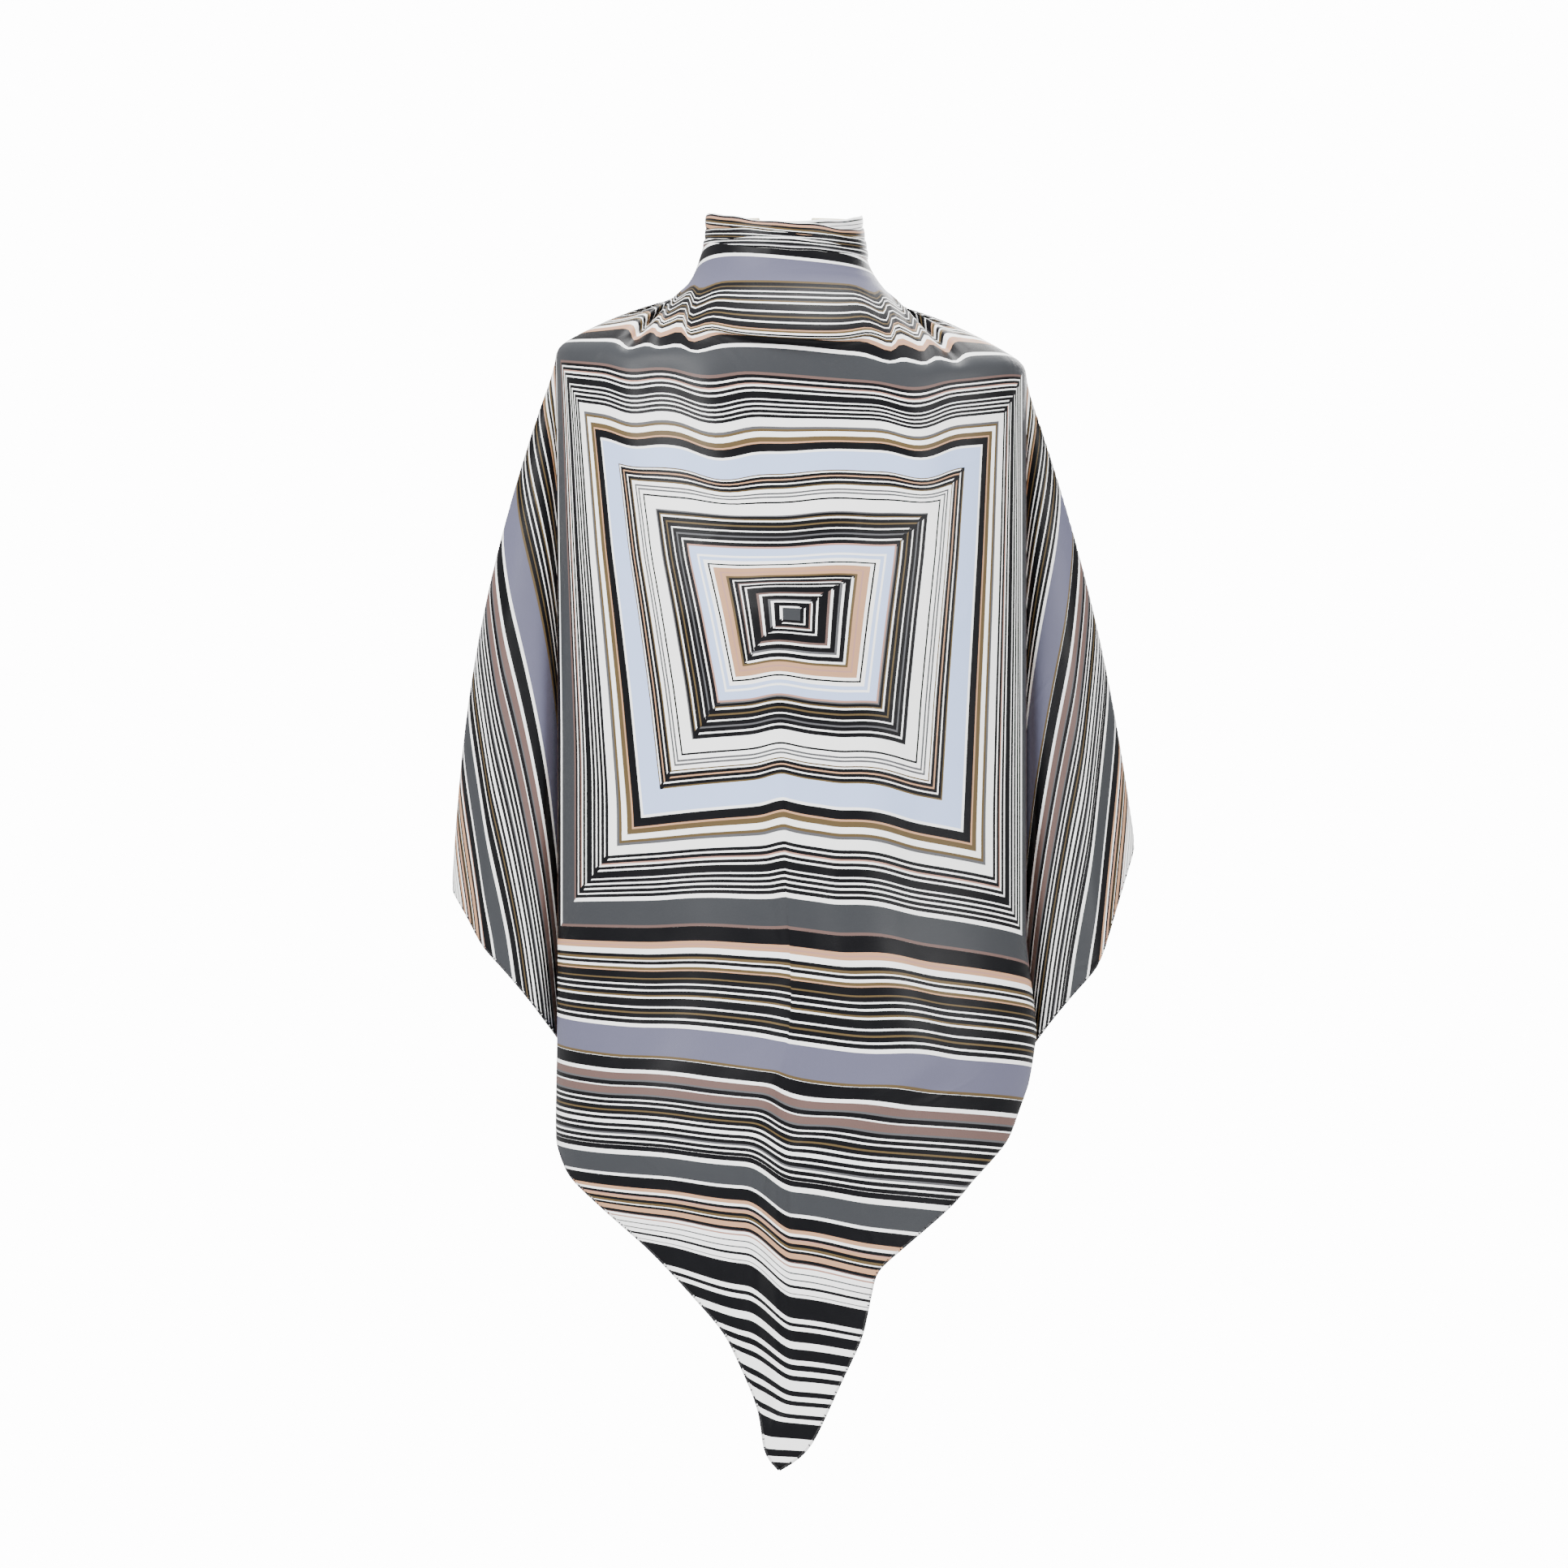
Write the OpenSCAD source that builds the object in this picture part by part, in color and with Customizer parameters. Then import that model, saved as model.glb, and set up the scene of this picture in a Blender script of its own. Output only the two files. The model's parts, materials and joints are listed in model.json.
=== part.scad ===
// Barber cape: one printed satin square worn point-down, wound at the neck and closed at the nape.
// Millimetres. +Z up, the front faces -Y, the origin is the centre of the neck opening.

/* [Neck] */
// Radius of the neck opening
neck_r = 52; // [46:1:60]
// Thickness of the neck band
band_t = 2.6; // [2.2:0.1:3.2]
// Depth of the neck band below the origin
band_below = 34; // [28:1:40]
// Height of the neck band above the origin at the throat
band_front = 6; // [4:1:10]
// Height of the neck band above the origin at the nape
band_back = 26; // [22:1:32]
// Thickness of each tuck wound round the neck
tuck_t = 1.8; // [1.4:0.1:2.4]
// How far the cowl fold stands off the yoke at its lip
cowl_lift = 9; // [5:1:13]

/* [Cape] */
// Half width of the front panel at its left fold
left_half_w = 169; // [150:1:190]
// Half width of the front panel at its right fold
right_half_w = 177; // [158:1:198]
// Depth of the chest in front of the neck's centre
chest_depth = 114; // [100:1:130]
// Depth of the back behind the neck's centre
back_depth = 118; // [104:1:132]
// Height of the shoulder line below the origin
shoulder_drop = 104; // [96:1:116]
// Length from the origin down to the tip of the lower point
cape_len = 905; // [820:5:990]
// Thickness of the cloth solids
cloth_t = 1.2; // [0.9:0.1:1.6]
// Radius of the rolled hem
hem_r = 1.5; // [1.1:0.1:1.9]

/* [Wings] */
// How far the left wing stands out from the panel
left_reach = 88; // [70:1:110]
// How far the right wing stands out from the panel
right_reach = 93; // [70:1:110]
// Drop of the left wing's outer fold below the origin
left_drop = 474; // [400:1:540]
// Drop of the right wing's outer fold below the origin
right_drop = 432; // [380:1:500]
// Depth of the hidden pleat behind each panel edge
pleat_depth = 66; // [50:1:76]
// Half width of the back opening at the wing corners
back_gap = 92; // [80:1:104]

/* [Nape closure] */
// Height of the nape tab
tab_h = 26; // [22:1:30]
// Thickness of the nape tab
tab_t = 1.6; // [1.2:0.1:2]
// Radius of a press stud's flange
stud_flange_r = 4.2; // [3.6:0.1:4.6]
// Radius of a press stud's head
stud_head_r = 1.8; // [1.5:0.1:2]
// Radius of a press cap
cap_r = 5.4; // [4.8:0.1:6]
// Gap round each stud's head in its socket
snap_gap = 0.8; // [0.6:0.1:1]
// Width of the care label
label_w = 30; // [24:1:36]
// Length of the care label
label_l = 18; // [14:1:24]

/* [Hidden] */
$fn = 96;

cut = 1;                                   // overshoot of a cutting solid
gap = 0.4;                                 // clearance between bodies that move
cloth_cols = 20;                           // columns of a cloth solid
cloth_rows = 18;                           // rows of a cloth solid

// Angles go round the neck from the front (0) through the wearer's left (+90, +X) to the nape (180).
band_r = neck_r + band_t;                  // outer face of the neck band
slit_a = 22;                               // half angle of the split in the neck band
tuck_end_a = 128;                          // the tucks stop here, clear of the nape tab
tab_start_a = 134;                         // hinge side of the nape tab
tab_stop_a = 206;                          // free end of the nape tab
stud_a = [170, 192, 214];                  // press studs, the last one spare for a smaller neck
cap_a = [170, 192];                        // press caps on the nape tab
snap_z = -12;                              // height of the row of press studs
tuck_gap = 0.3;                            // air between the wound layers
lower_tuck_h = 24;                         // height of the wide tuck at the collar's foot

// Build-up of a press stud, outward from the neck band's outer face
flange_t = 0.8;
head_l = 1.5;
socket_t = 1.9;
tab_r = band_r + flange_t + gap + socket_t;  // inner face of the nape tab
cap_t = 1.2;
back_t = 0.7;                              // thickness of a stud's backing disc
shank_r = 1.1;                             // shank through the underlap
shank_gap = 0.1;
skin_t = 0.5;                              // cloth left between the backing disc and the neck

point_z = -cape_len * 0.796;               // line on which the lower point swings
bend_gap = 5;                              // cloth left out each side of that line, where it bends
fold_z = -cape_len * 0.73;                 // height where the panel's folds end and its hems start
yoke_z = -shoulder_drop;                   // lower edge of the yoke
tuck_foot_r = band_r + 4 + 2 * tuck_t;     // widest part of the wound collar
neck_foot_r = tuck_foot_r + tuck_gap;      // where the yoke leaves the wound collar
neck_foot_z = -band_below;

// Height as a share of the cape's length, against the half width as a share of the panel's
left_hem = [[-1, 0.07], [-0.93, 0.105], [-0.868, 0.25], [-0.807, 0.59], [-0.757, 0.93], [-0.73, 1]];
right_hem = [[-1, -0.05], [-0.96, 0.113], [-0.878, 0.305], [-0.825, 0.36], [-0.773, 0.69], [-0.73, 0.92],
    [-0.69, 1]];
// Height share, and the right panel fold's swell below the waist
right_swell = [[-0.7, 0], [-0.645, 8], [-0.57, 0], [0, 0]];
// Height share, and the depth of the cloth over chest, waist and belly as a share of the chest's
depth_line = [[-1, 0.98], [-0.69, 0.97], [-0.5, 0.93], [-0.31, 1], [-0.12, 0.8]];

function mix(p, q, t) = p * (1 - t) + q * t;
function ring(r, a, z) = [r * sin(a), -r * cos(a), z];
function steps(n) = [for (i = [0:n]) i / n];

// Unit normal of a grid of points at row i and column j
function grid_normal(g, i, j) =
    let (down = g[min(i + 1, len(g) - 1)][j] - g[max(i - 1, 0)][j])
    let (along = g[i][min(j + 1, len(g[0]) - 1)] - g[i][max(j - 1, 0)])
    let (n = cross(down, along))
    n / norm(n);
function offset_grid(g, d) =
    [for (i = [0:len(g) - 1]) [for (j = [0:len(g[0]) - 1]) g[i][j] + d * grid_normal(g, i, j)]];

// A closed sheet of cloth between a grid of points and its copy set back by the cloth's thickness
module sheet(g, t = cloth_t) {
    rows = len(g);
    cols = len(g[0]);
    back = offset_grid(g, t);
    n = rows * cols;
    at = function(i, j) i * cols + j;
    points = concat([for (r = g) each r], [for (r = back) each r]);
    faces = concat(
        [for (i = [0:rows - 2], j = [0:cols - 2], k = [0, 1])
            k == 0 ? [at(i, j), at(i, j + 1), at(i + 1, j + 1)] : [at(i, j), at(i + 1, j + 1), at(i + 1, j)]],
        [for (i = [0:rows - 2], j = [0:cols - 2], k = [0, 1])
            k == 0 ? [n + at(i, j), n + at(i + 1, j + 1), n + at(i, j + 1)]
                : [n + at(i, j), n + at(i + 1, j), n + at(i + 1, j + 1)]],
        [for (i = [0:rows - 2], k = [0, 1])
            k == 0 ? [at(i, 0), at(i + 1, 0), n + at(i + 1, 0)] : [at(i, 0), n + at(i + 1, 0), n + at(i, 0)]],
        [for (i = [0:rows - 2], k = [0, 1]) let (j = cols - 1)
            k == 0 ? [at(i, j), n + at(i + 1, j), at(i + 1, j)] : [at(i, j), n + at(i, j), n + at(i + 1, j)]],
        [for (j = [0:cols - 2], k = [0, 1])
            k == 0 ? [at(0, j), n + at(0, j + 1), at(0, j + 1)] : [at(0, j), n + at(0, j), n + at(0, j + 1)]],
        [for (j = [0:cols - 2], k = [0, 1]) let (i = rows - 1)
            k == 0 ? [at(i, j), at(i, j + 1), n + at(i, j + 1)] : [at(i, j), n + at(i, j + 1), n + at(i, j)]]);
    polyhedron(points, faces, convexity = 6);
}

// A six-sided tube swept along a path, for the rolled hems
module hem(path, r = hem_r) {
    sides = 6;
    last = len(path) - 1;
    rings = [for (i = [0:last])
        let (along = path[min(i + 1, last)] - path[max(i - 1, 0)])
        let (t = along / norm(along))
        let (u = cross(t, [0.31, 0.9, 0.2]))
        let (p = u / norm(u), q = cross(t, p))
        [for (k = [0:sides - 1]) path[i] + r * (cos(360 * k / sides) * p + sin(360 * k / sides) * q)]];
    points = [for (c = rings) each c];
    walls = [for (i = [0:last - 1], k = [0:sides - 1], h = [0, 1])
        let (a = i * sides + k, b = i * sides + (k + 1) % sides)
        h == 0 ? [a, b, b + sides] : [a, b + sides, a + sides]];
    caps = [[for (k = [sides - 1:-1:0]) k], [for (k = [0:sides - 1]) last * sides + k]];
    polyhedron(points, concat(walls, caps), convexity = 6);
}

// ---- wound collar ----

// The part of a round wall between two angles round the neck
module neck_wall(r_in, r_out, z_low, z_high, from_a, to_a) {
    translate([0, 0, z_low])
        rotate([0, 0, from_a - 90])
            rotate_extrude(angle = to_a - from_a)
                translate([r_in, 0])
                    square([r_out - r_in, z_high - z_low]);
}

// Everything above the rim, which rises from the throat to the nape
module above_rim(rise) {
    slope = atan((band_back - band_front) / (2 * neck_r));
    translate([0, 0, (band_front + band_back) / 2 + rise])
        rotate([slope, 0, 0])
            translate([0, 0, 50])
                cube([300, 300, 100], center = true);
}

// A round hole along a radius of the neck at angle a
module radial(a, r_from, r_to, r, z = snap_z) {
    translate([0, 0, z])
        rotate([0, 0, a - 90])
            translate([r_from, 0, 0])
                rotate([0, 90, 0])
                    cylinder(h = r_to - r_from, r = r, $fn = 40);
}

// Pocket and hole for one press stud's backing disc and shank
module stud_seat(a) {
    radial(a, neck_r + skin_t - 0.05, neck_r + skin_t + back_t + 0.05, stud_flange_r + shank_gap);
    radial(a, neck_r + skin_t, band_r + cut, shank_r + shank_gap);
}

module neck_band() {
    color([0.93, 0.91, 0.88])
        difference() {
            neck_wall(neck_r, band_r, -band_below, band_back + 10, slit_a - 180, 180 - slit_a);
            above_rim(0);
            stud_seat(stud_a[2]);
        }
}

module nape_underlap() {
    color([0.93, 0.91, 0.88])
        difference() {
            neck_wall(neck_r, band_r, -band_below + 4, band_back + 10, 180 - slit_a + 0.5, 180 + slit_a);
            above_rim(-3);
            for (a = [stud_a[0], stud_a[1]])
                stud_seat(a);
        }
}

module upper_tuck() {
    color([0.83, 0.71, 0.63])
        difference() {
            neck_wall(band_r + tuck_gap, band_r + tuck_gap + tuck_t, -band_below + lower_tuck_h + tuck_gap,
                band_back + 10, -tuck_end_a, tuck_end_a);
            above_rim(1);
        }
}

module lower_tuck() {
    color([0.63, 0.63, 0.70])
        translate([0, 0, -band_below])
            rotate([0, 0, -tuck_end_a - 90])
                rotate_extrude(angle = 2 * tuck_end_a)
                    polygon([[band_r + tuck_gap, 0], [band_r + tuck_gap, lower_tuck_h - 2.5],
                        [band_r + 3 * tuck_gap + tuck_t, lower_tuck_h], [tuck_foot_r, 0]]);
}

// ---- yoke over the shoulders ----

function side_w(s) = s < 0 ? left_half_w : right_half_w;

// Base of the yoke at angle a: an oval as wide as the panel and as deep as chest or back
function yoke_base(a) =
    let (s = sin(a) < 0 ? -1 : 1)
    let (deep = cos(a) > 0 ? chest_depth * lookup(-0.12, depth_line) : back_depth * 0.78)
    [(side_w(s) + 8) * sin(a), -deep * cos(a), yoke_z];
// A point of the yoke: k = 0 at the collar's foot, 1 at its lower edge, swelling over the shoulder
function yoke_pt(a, k, top_a) =
    let (swell = 17 * abs(sin(a)) * sin(180 * pow(k, 1.6)))
    mix(ring(neck_foot_r, top_a, neck_foot_z), yoke_base(a), k) + [0, 0, swell];

module yoke_front() {
    color([0.42, 0.42, 0.43])
        sheet([for (k = steps(10)) [for (t = steps(32)) let (a = mix(-89, 89, t)) yoke_pt(a, k, a)]]);
}

// The cowl: a soft fold of the collar's cloth that hangs over the front of the yoke
cowl_a = 62;                               // the cowl reaches this far round each side
function cowl_pt(a, k) =
    let (share = cos(a * 90 / cowl_a))
    yoke_pt(a, 0.52 * k * share, a) + ring(1.6 + cowl_lift * k * share, a, 1.2 + 4 * k * share);

module cowl_fold() {
    color([0.85, 0.74, 0.66])
        sheet([for (k = steps(6)) [for (t = steps(20)) cowl_pt(mix(2 - cowl_a, cowl_a - 2, t), k)]],
            t = 0.8);
}

// Half of the yoke's back, from the shoulder to the slit that runs down from the nape
slit_top_a = 167;
slit_foot_a = 146;
function yoke_back_grid(s) = [for (k = steps(10)) [for (t = steps(14))
    let (t2 = s < 0 ? t : 1 - t)
    yoke_pt(s * mix(91, mix(slit_top_a, slit_foot_a, k), t2), k, s * mix(91, slit_top_a, t2))]];

module yoke_back(s) {
    color([0.75, 0.70, 0.66])
        sheet([for (r = yoke_back_grid(s)) [for (j = [len(r) - 1:-1:0]) r[j]]]);
}

module yoke_hem(s) {
    color([0.12, 0.12, 0.13])
        hem([for (k = steps(10)) yoke_pt(s * mix(slit_top_a, slit_foot_a, k), k, s * slit_top_a)
            - [0, 0, cloth_t / 2]]);
}

module care_label() {
    g = yoke_back_grid(-1);
    inner = offset_grid([for (r = g) [for (j = [len(r) - 1:-1:0]) r[j]]], cloth_t + gap);
    corner = inner[7][4];
    color("white")
        translate(corner + [0, -2.2, -4])
            rotate([10, 0, -35])
                translate([0, -1.2, -label_l])
                    cube([label_w, 0.5, label_l]);
}

// ---- front panel and lower point ----

function depth_at(z) = chest_depth * lookup(z / cape_len, depth_line);
function panel_w(s, z) = side_w(s) + (s > 0 ? lookup(z / cape_len, right_swell) : 0);
function hem_share(s, z) = lookup(z / cape_len, s < 0 ? left_hem : right_hem);
// Angle across the oval panel where its edge lies at height z
function edge_a(s, z) = asin(min(0.9976, hem_share(s, z)));
function panel_pt(a, z) = [panel_w(a < 0 ? -1 : 1, z) * sin(a), -depth_at(z) * cos(a), z];
function panel_grid(z_high, z_low, rows, cols) = [for (v = steps(rows)) let (z = mix(z_high, z_low, v))
    [for (u = steps(cols)) panel_pt(mix(-edge_a(-1, z), edge_a(1, z), u), z)]];

module front_panel() {
    color([0.80, 0.80, 0.83])
        sheet(panel_grid(yoke_z - gap, point_z + bend_gap, 28, cloth_cols + 8));
}

tip_z = -cape_len + 3;
module lower_point() {
    color([0.86, 0.86, 0.86])
        sheet(panel_grid(point_z - bend_gap, tip_z, cloth_rows, cloth_cols));
}

function panel_edge(s, z) = panel_pt(s * edge_a(s, z), z) + [0, cloth_t / 2, 0];

module panel_hem(s) {
    color([0.12, 0.12, 0.13])
        hem([for (v = steps(8)) panel_edge(s, mix(fold_z, point_z + bend_gap, v))]);
}

module point_hem(s) {
    color([0.12, 0.12, 0.13])
        hem([for (v = steps(24)) panel_edge(s, mix(point_z - bend_gap, tip_z, v))]);
}

// ---- wings ----

function drop_of(s) = s < 0 ? left_drop : right_drop;
function reach_of(s) = s < 0 ? left_reach : right_reach;
wing_top_z = yoke_z - 4;                   // the moving cloth starts just below the yoke
wing_in = 3;                               // how far the wing's inner edge clears the panel's fold
fold_y = 5;                                // depth of the wing's inner edge behind the neck's centre
ridge_y = 62;                              // depth of the outer fold at the hem

// Inner edge, outer fold and back edge of a wing, v = 0 at the top and 1 at the hem
function wing_inner(s, v) = [s * (side_w(s) + wing_in), fold_y, mix(wing_top_z, -drop_of(s) - 86, v)];
function wing_ridge(s, v) =
    [s * (side_w(s) + 14 + (reach_of(s) - 14) * sin(90 * v)), mix(16, ridge_y, v),
        mix(wing_top_z, -drop_of(s), v)];
function wing_corner(s, v) =
    [s * mix(64, back_gap, v), mix(back_depth * 0.72, back_depth, v), mix(wing_top_z, -drop_of(s) - 24, v)];

// Front of a wing, with a hem that arches up between the inner edge and the outer fold
function wing_front_pt(s, u, v) =
    mix(wing_inner(s, v), wing_ridge(s, v), u) + [0, 0, 16 * v * sin(180 * u)];
// Back of a wing, bowed outward round the upper arm
function wing_back_pt(s, u, v) =
    let (bow = sin(180 * u) * mix(10, 16, v))
    mix(wing_ridge(s, v), wing_corner(s, v), u) + [s * bow * 0.6, bow, 0];

module wing_front(s) {
    color([0.74, 0.66, 0.62])
        sheet([for (v = steps(cloth_rows)) [for (u = steps(8))
            wing_front_pt(s, s < 0 ? 1 - u : u, v)]]);
}

module wing_back(s) {
    color([0.70, 0.70, 0.72])
        sheet([for (v = steps(cloth_rows)) [for (u = steps(12))
            wing_back_pt(s, (s < 0 ? 1 - u : u) * 0.985 + 0.015, v)]]);
}

module wing_hem(s) {
    color([0.12, 0.12, 0.13])
        hem(concat([for (u = steps(10)) wing_front_pt(s, u, 1) + [0, cloth_t / 2, 0]],
            [for (u = steps(10)) if (u > 0.05) wing_back_pt(s, u * 0.99, 1) - [0, cloth_t / 2, 0]]));
}

module back_hem(s) {
    color([0.12, 0.12, 0.13])
        hem([for (v = steps(14)) wing_back_pt(s, 1, v * 0.985) - [0, cloth_t / 2, 0]]);
}

// The cloth that folds in behind the panel's edge, deeper towards the hem
module pleat(s) {
    color([0.35, 0.35, 0.37])
        sheet([for (v = steps(cloth_rows)) [for (u = steps(5))
            let (u2 = s < 0 ? 1 - u : u)
            [s * (panel_w(s, mix(yoke_z, -drop_of(s) - 80, v)) - 2 - 16 * u2 * v),
                mix(-6, pleat_depth * (0.15 + 0.85 * v) - 6, u2), mix(yoke_z - 2, -drop_of(s) - 80, v)]]]);
}

// ---- nape closure ----

module nape_tab() {
    color([0.90, 0.88, 0.85])
        difference() {
            neck_wall(tab_r, tab_r + tab_t, snap_z - tab_h / 2, snap_z + tab_h / 2, tab_start_a, tab_stop_a);
            for (a = cap_a)
                radial(a, tab_r - cut, tab_r + tab_t + cut, shank_r + shank_gap);
        }
}

module tab_hem() {
    arc = [for (t = steps(16)) mix(tab_start_a + 1.5, tab_stop_a, t)];
    mid_r = tab_r + tab_t / 2;
    low_z = snap_z - tab_h / 2;
    high_z = snap_z + tab_h / 2;
    color([0.12, 0.12, 0.13])
        hem(concat([for (a = arc) ring(mid_r, a, high_z)], [ring(mid_r, tab_stop_a + 1, snap_z)],
            [for (i = [len(arc) - 1:-1:0]) ring(mid_r, arc[i], low_z)]), r = 1.2);
}

module snap_studs() {
    color([0.80, 0.80, 0.82])
        for (a = stud_a) {
            radial(a, neck_r + skin_t + back_t, band_r + flange_t, shank_r);
            radial(a, band_r + 0.05, band_r + flange_t, stud_flange_r);
            radial(a, band_r + flange_t - 0.1, band_r + flange_t + head_l, stud_head_r);
        }
}

module snap_stud_backs() {
    color([0.72, 0.72, 0.74])
        for (a = stud_a)
            radial(a, neck_r + skin_t, neck_r + skin_t + back_t, stud_flange_r);
}

module snap_caps() {
    color([0.14, 0.14, 0.15])
        for (a = cap_a) {
            radial(a, tab_r + tab_t + 0.1, tab_r + tab_t + cap_t, cap_r);
            radial(a, tab_r, tab_r + tab_t + cap_t / 2, shank_r);
        }
}

module snap_sockets() {
    color([0.80, 0.80, 0.82])
        for (a = cap_a)
            difference() {
                radial(a, tab_r - socket_t, tab_r - 0.3, stud_flange_r + 0.3);
                radial(a, tab_r - socket_t - cut, tab_r - 0.6, stud_head_r + snap_gap);
            }
}

neck_band();
upper_tuck();
lower_tuck();
cowl_fold();
nape_underlap();
yoke_front();
yoke_back(-1);  // yoke_back_left
yoke_back(1);  // yoke_back_right
yoke_hem(-1);  // yoke_hem_left
yoke_hem(1);  // yoke_hem_right
front_panel();
panel_hem(-1);  // panel_hem_left
panel_hem(1);  // panel_hem_right
pleat(-1);  // left_pleat
pleat(1);  // right_pleat
care_label();
snap_studs();
snap_stud_backs();
lower_point();
point_hem(-1);  // point_hem_left
point_hem(1);  // point_hem_right
wing_front(-1);  // left_wing_front
wing_back(-1);  // left_wing_back
wing_hem(-1);  // left_wing_hem
back_hem(-1);  // left_back_hem
wing_front(1);  // right_wing_front
wing_back(1);  // right_wing_back
wing_hem(1);  // right_wing_hem
back_hem(1);  // right_back_hem
nape_tab();
tab_hem();
snap_caps();
snap_sockets();
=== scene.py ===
"""The looks of a barber cape: one printed satin square that hangs point-down from a wound collar.

The cloth is worked out as a flat square whose every point (a, b) has a place in space: a runs to the
wearer's left, b up, and (0, 0) is the middle of the print. Lengths in the drape are millimetres.
"""
import json
import math

import bpy
import numpy as np
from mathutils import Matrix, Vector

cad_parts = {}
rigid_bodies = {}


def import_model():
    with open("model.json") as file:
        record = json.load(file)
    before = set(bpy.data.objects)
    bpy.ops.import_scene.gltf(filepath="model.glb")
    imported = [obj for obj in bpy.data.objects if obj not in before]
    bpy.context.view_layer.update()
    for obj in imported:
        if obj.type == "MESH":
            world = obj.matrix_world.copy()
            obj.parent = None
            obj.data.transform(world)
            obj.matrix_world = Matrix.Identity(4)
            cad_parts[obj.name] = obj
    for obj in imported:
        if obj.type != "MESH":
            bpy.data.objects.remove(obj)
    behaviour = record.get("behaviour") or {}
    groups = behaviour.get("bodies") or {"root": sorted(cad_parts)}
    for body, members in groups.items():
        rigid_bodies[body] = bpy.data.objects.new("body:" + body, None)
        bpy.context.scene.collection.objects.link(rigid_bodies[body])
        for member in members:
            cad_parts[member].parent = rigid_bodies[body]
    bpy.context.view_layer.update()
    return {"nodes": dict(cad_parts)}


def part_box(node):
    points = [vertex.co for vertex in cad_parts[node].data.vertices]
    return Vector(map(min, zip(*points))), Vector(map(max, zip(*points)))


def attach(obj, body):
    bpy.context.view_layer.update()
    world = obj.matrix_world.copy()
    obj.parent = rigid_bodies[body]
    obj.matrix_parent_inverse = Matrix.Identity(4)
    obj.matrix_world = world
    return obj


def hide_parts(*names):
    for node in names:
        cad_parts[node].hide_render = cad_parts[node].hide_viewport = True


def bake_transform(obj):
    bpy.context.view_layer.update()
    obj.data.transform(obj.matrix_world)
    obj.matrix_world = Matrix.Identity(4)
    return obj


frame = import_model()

bl_info = {
    "name": "Barber cape",
    "version": (1, 0, 0),
    "blender": (4, 5, 0),
    "location": "3D View > Sidebar > Cape",
    "description": "Drapes, hems and finishes a printed satin barber cape",
    "category": "Add Mesh",
}

MM = 0.001


def box_mm(node):
    """Lowest and highest corner of a CAD node, in millimetres."""
    low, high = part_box(node)
    return np.array(low) / MM, np.array(high) / MM


PANEL_LOW = box_mm("front_panel")[0]
YOKE_LOW, YOKE_HIGH = box_mm("yoke_front")
POINT_LOW = box_mm("lower_point")[0]
LEFT_LOW = box_mm("left_wing_front")[0]
RIGHT_LOW, RIGHT_HIGH = box_mm("right_wing_front")
BAND_LOW, BAND_HIGH = box_mm("neck_band")

YOKE_LIP = 8.0                              # the yoke stands this far outside the panel's folds
HALF_W = {-1: -YOKE_LOW[0] - YOKE_LIP, 1: YOKE_HIGH[0] - YOKE_LIP}
CHEST = -PANEL_LOW[1]
TIP_ALLOWANCE = 3.0                         # added to the CAD's depth for the length heights are shared by
CAPE_LEN = -POINT_LOW[2] + TIP_ALLOWANCE
BAND_R = BAND_HIGH[0]
NECK_Z = BAND_LOW[2]
WING_RISE = 87.0                            # a wing's outer fold ends this far above its inner one
LEFT_RIDGE_Z = LEFT_LOW[2] + WING_RISE
RIGHT_RIDGE_Z = RIGHT_LOW[2] + WING_RISE
RIDGE_INSET = 2.0                           # a wing's outer fold ends this far inside the CAD box
RIDGE_Y = 62.0                              # and this far behind the neck's axis


# ---------------------------------------------------------------- drape of the flat square

def keyed(x, *pairs):
    """Straight lines between (place, value) pairs."""
    places, values = zip(*sorted(pairs))
    return np.interp(x, places, values)


def smooth(low, high, x):
    t = np.clip((x - low) / (high - low), 0, 1)
    return t * t * (3 - 2 * t)


def bump(x, centre, width):
    """A soft bell, 1 at its centre and 0 beyond width on each side."""
    t = np.clip(np.abs(x - centre) / width, 0, 1)
    return (1 - t * t) ** 2


def arc_length(turn_from, turn_to, half_w, depth):
    """Length of an oval of those half axes between two angles from its front, by Simpson's rule."""
    total = 0.0
    for place, share in ((0.0, 1), (0.25, 4), (0.5, 2), (0.75, 4), (1.0, 1)):
        turn = turn_from + (turn_to - turn_from) * place
        total = total + share * np.hypot(half_w * np.cos(turn), depth * np.sin(turn))
    return np.abs(turn_to - turn_from) * total / 12


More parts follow.
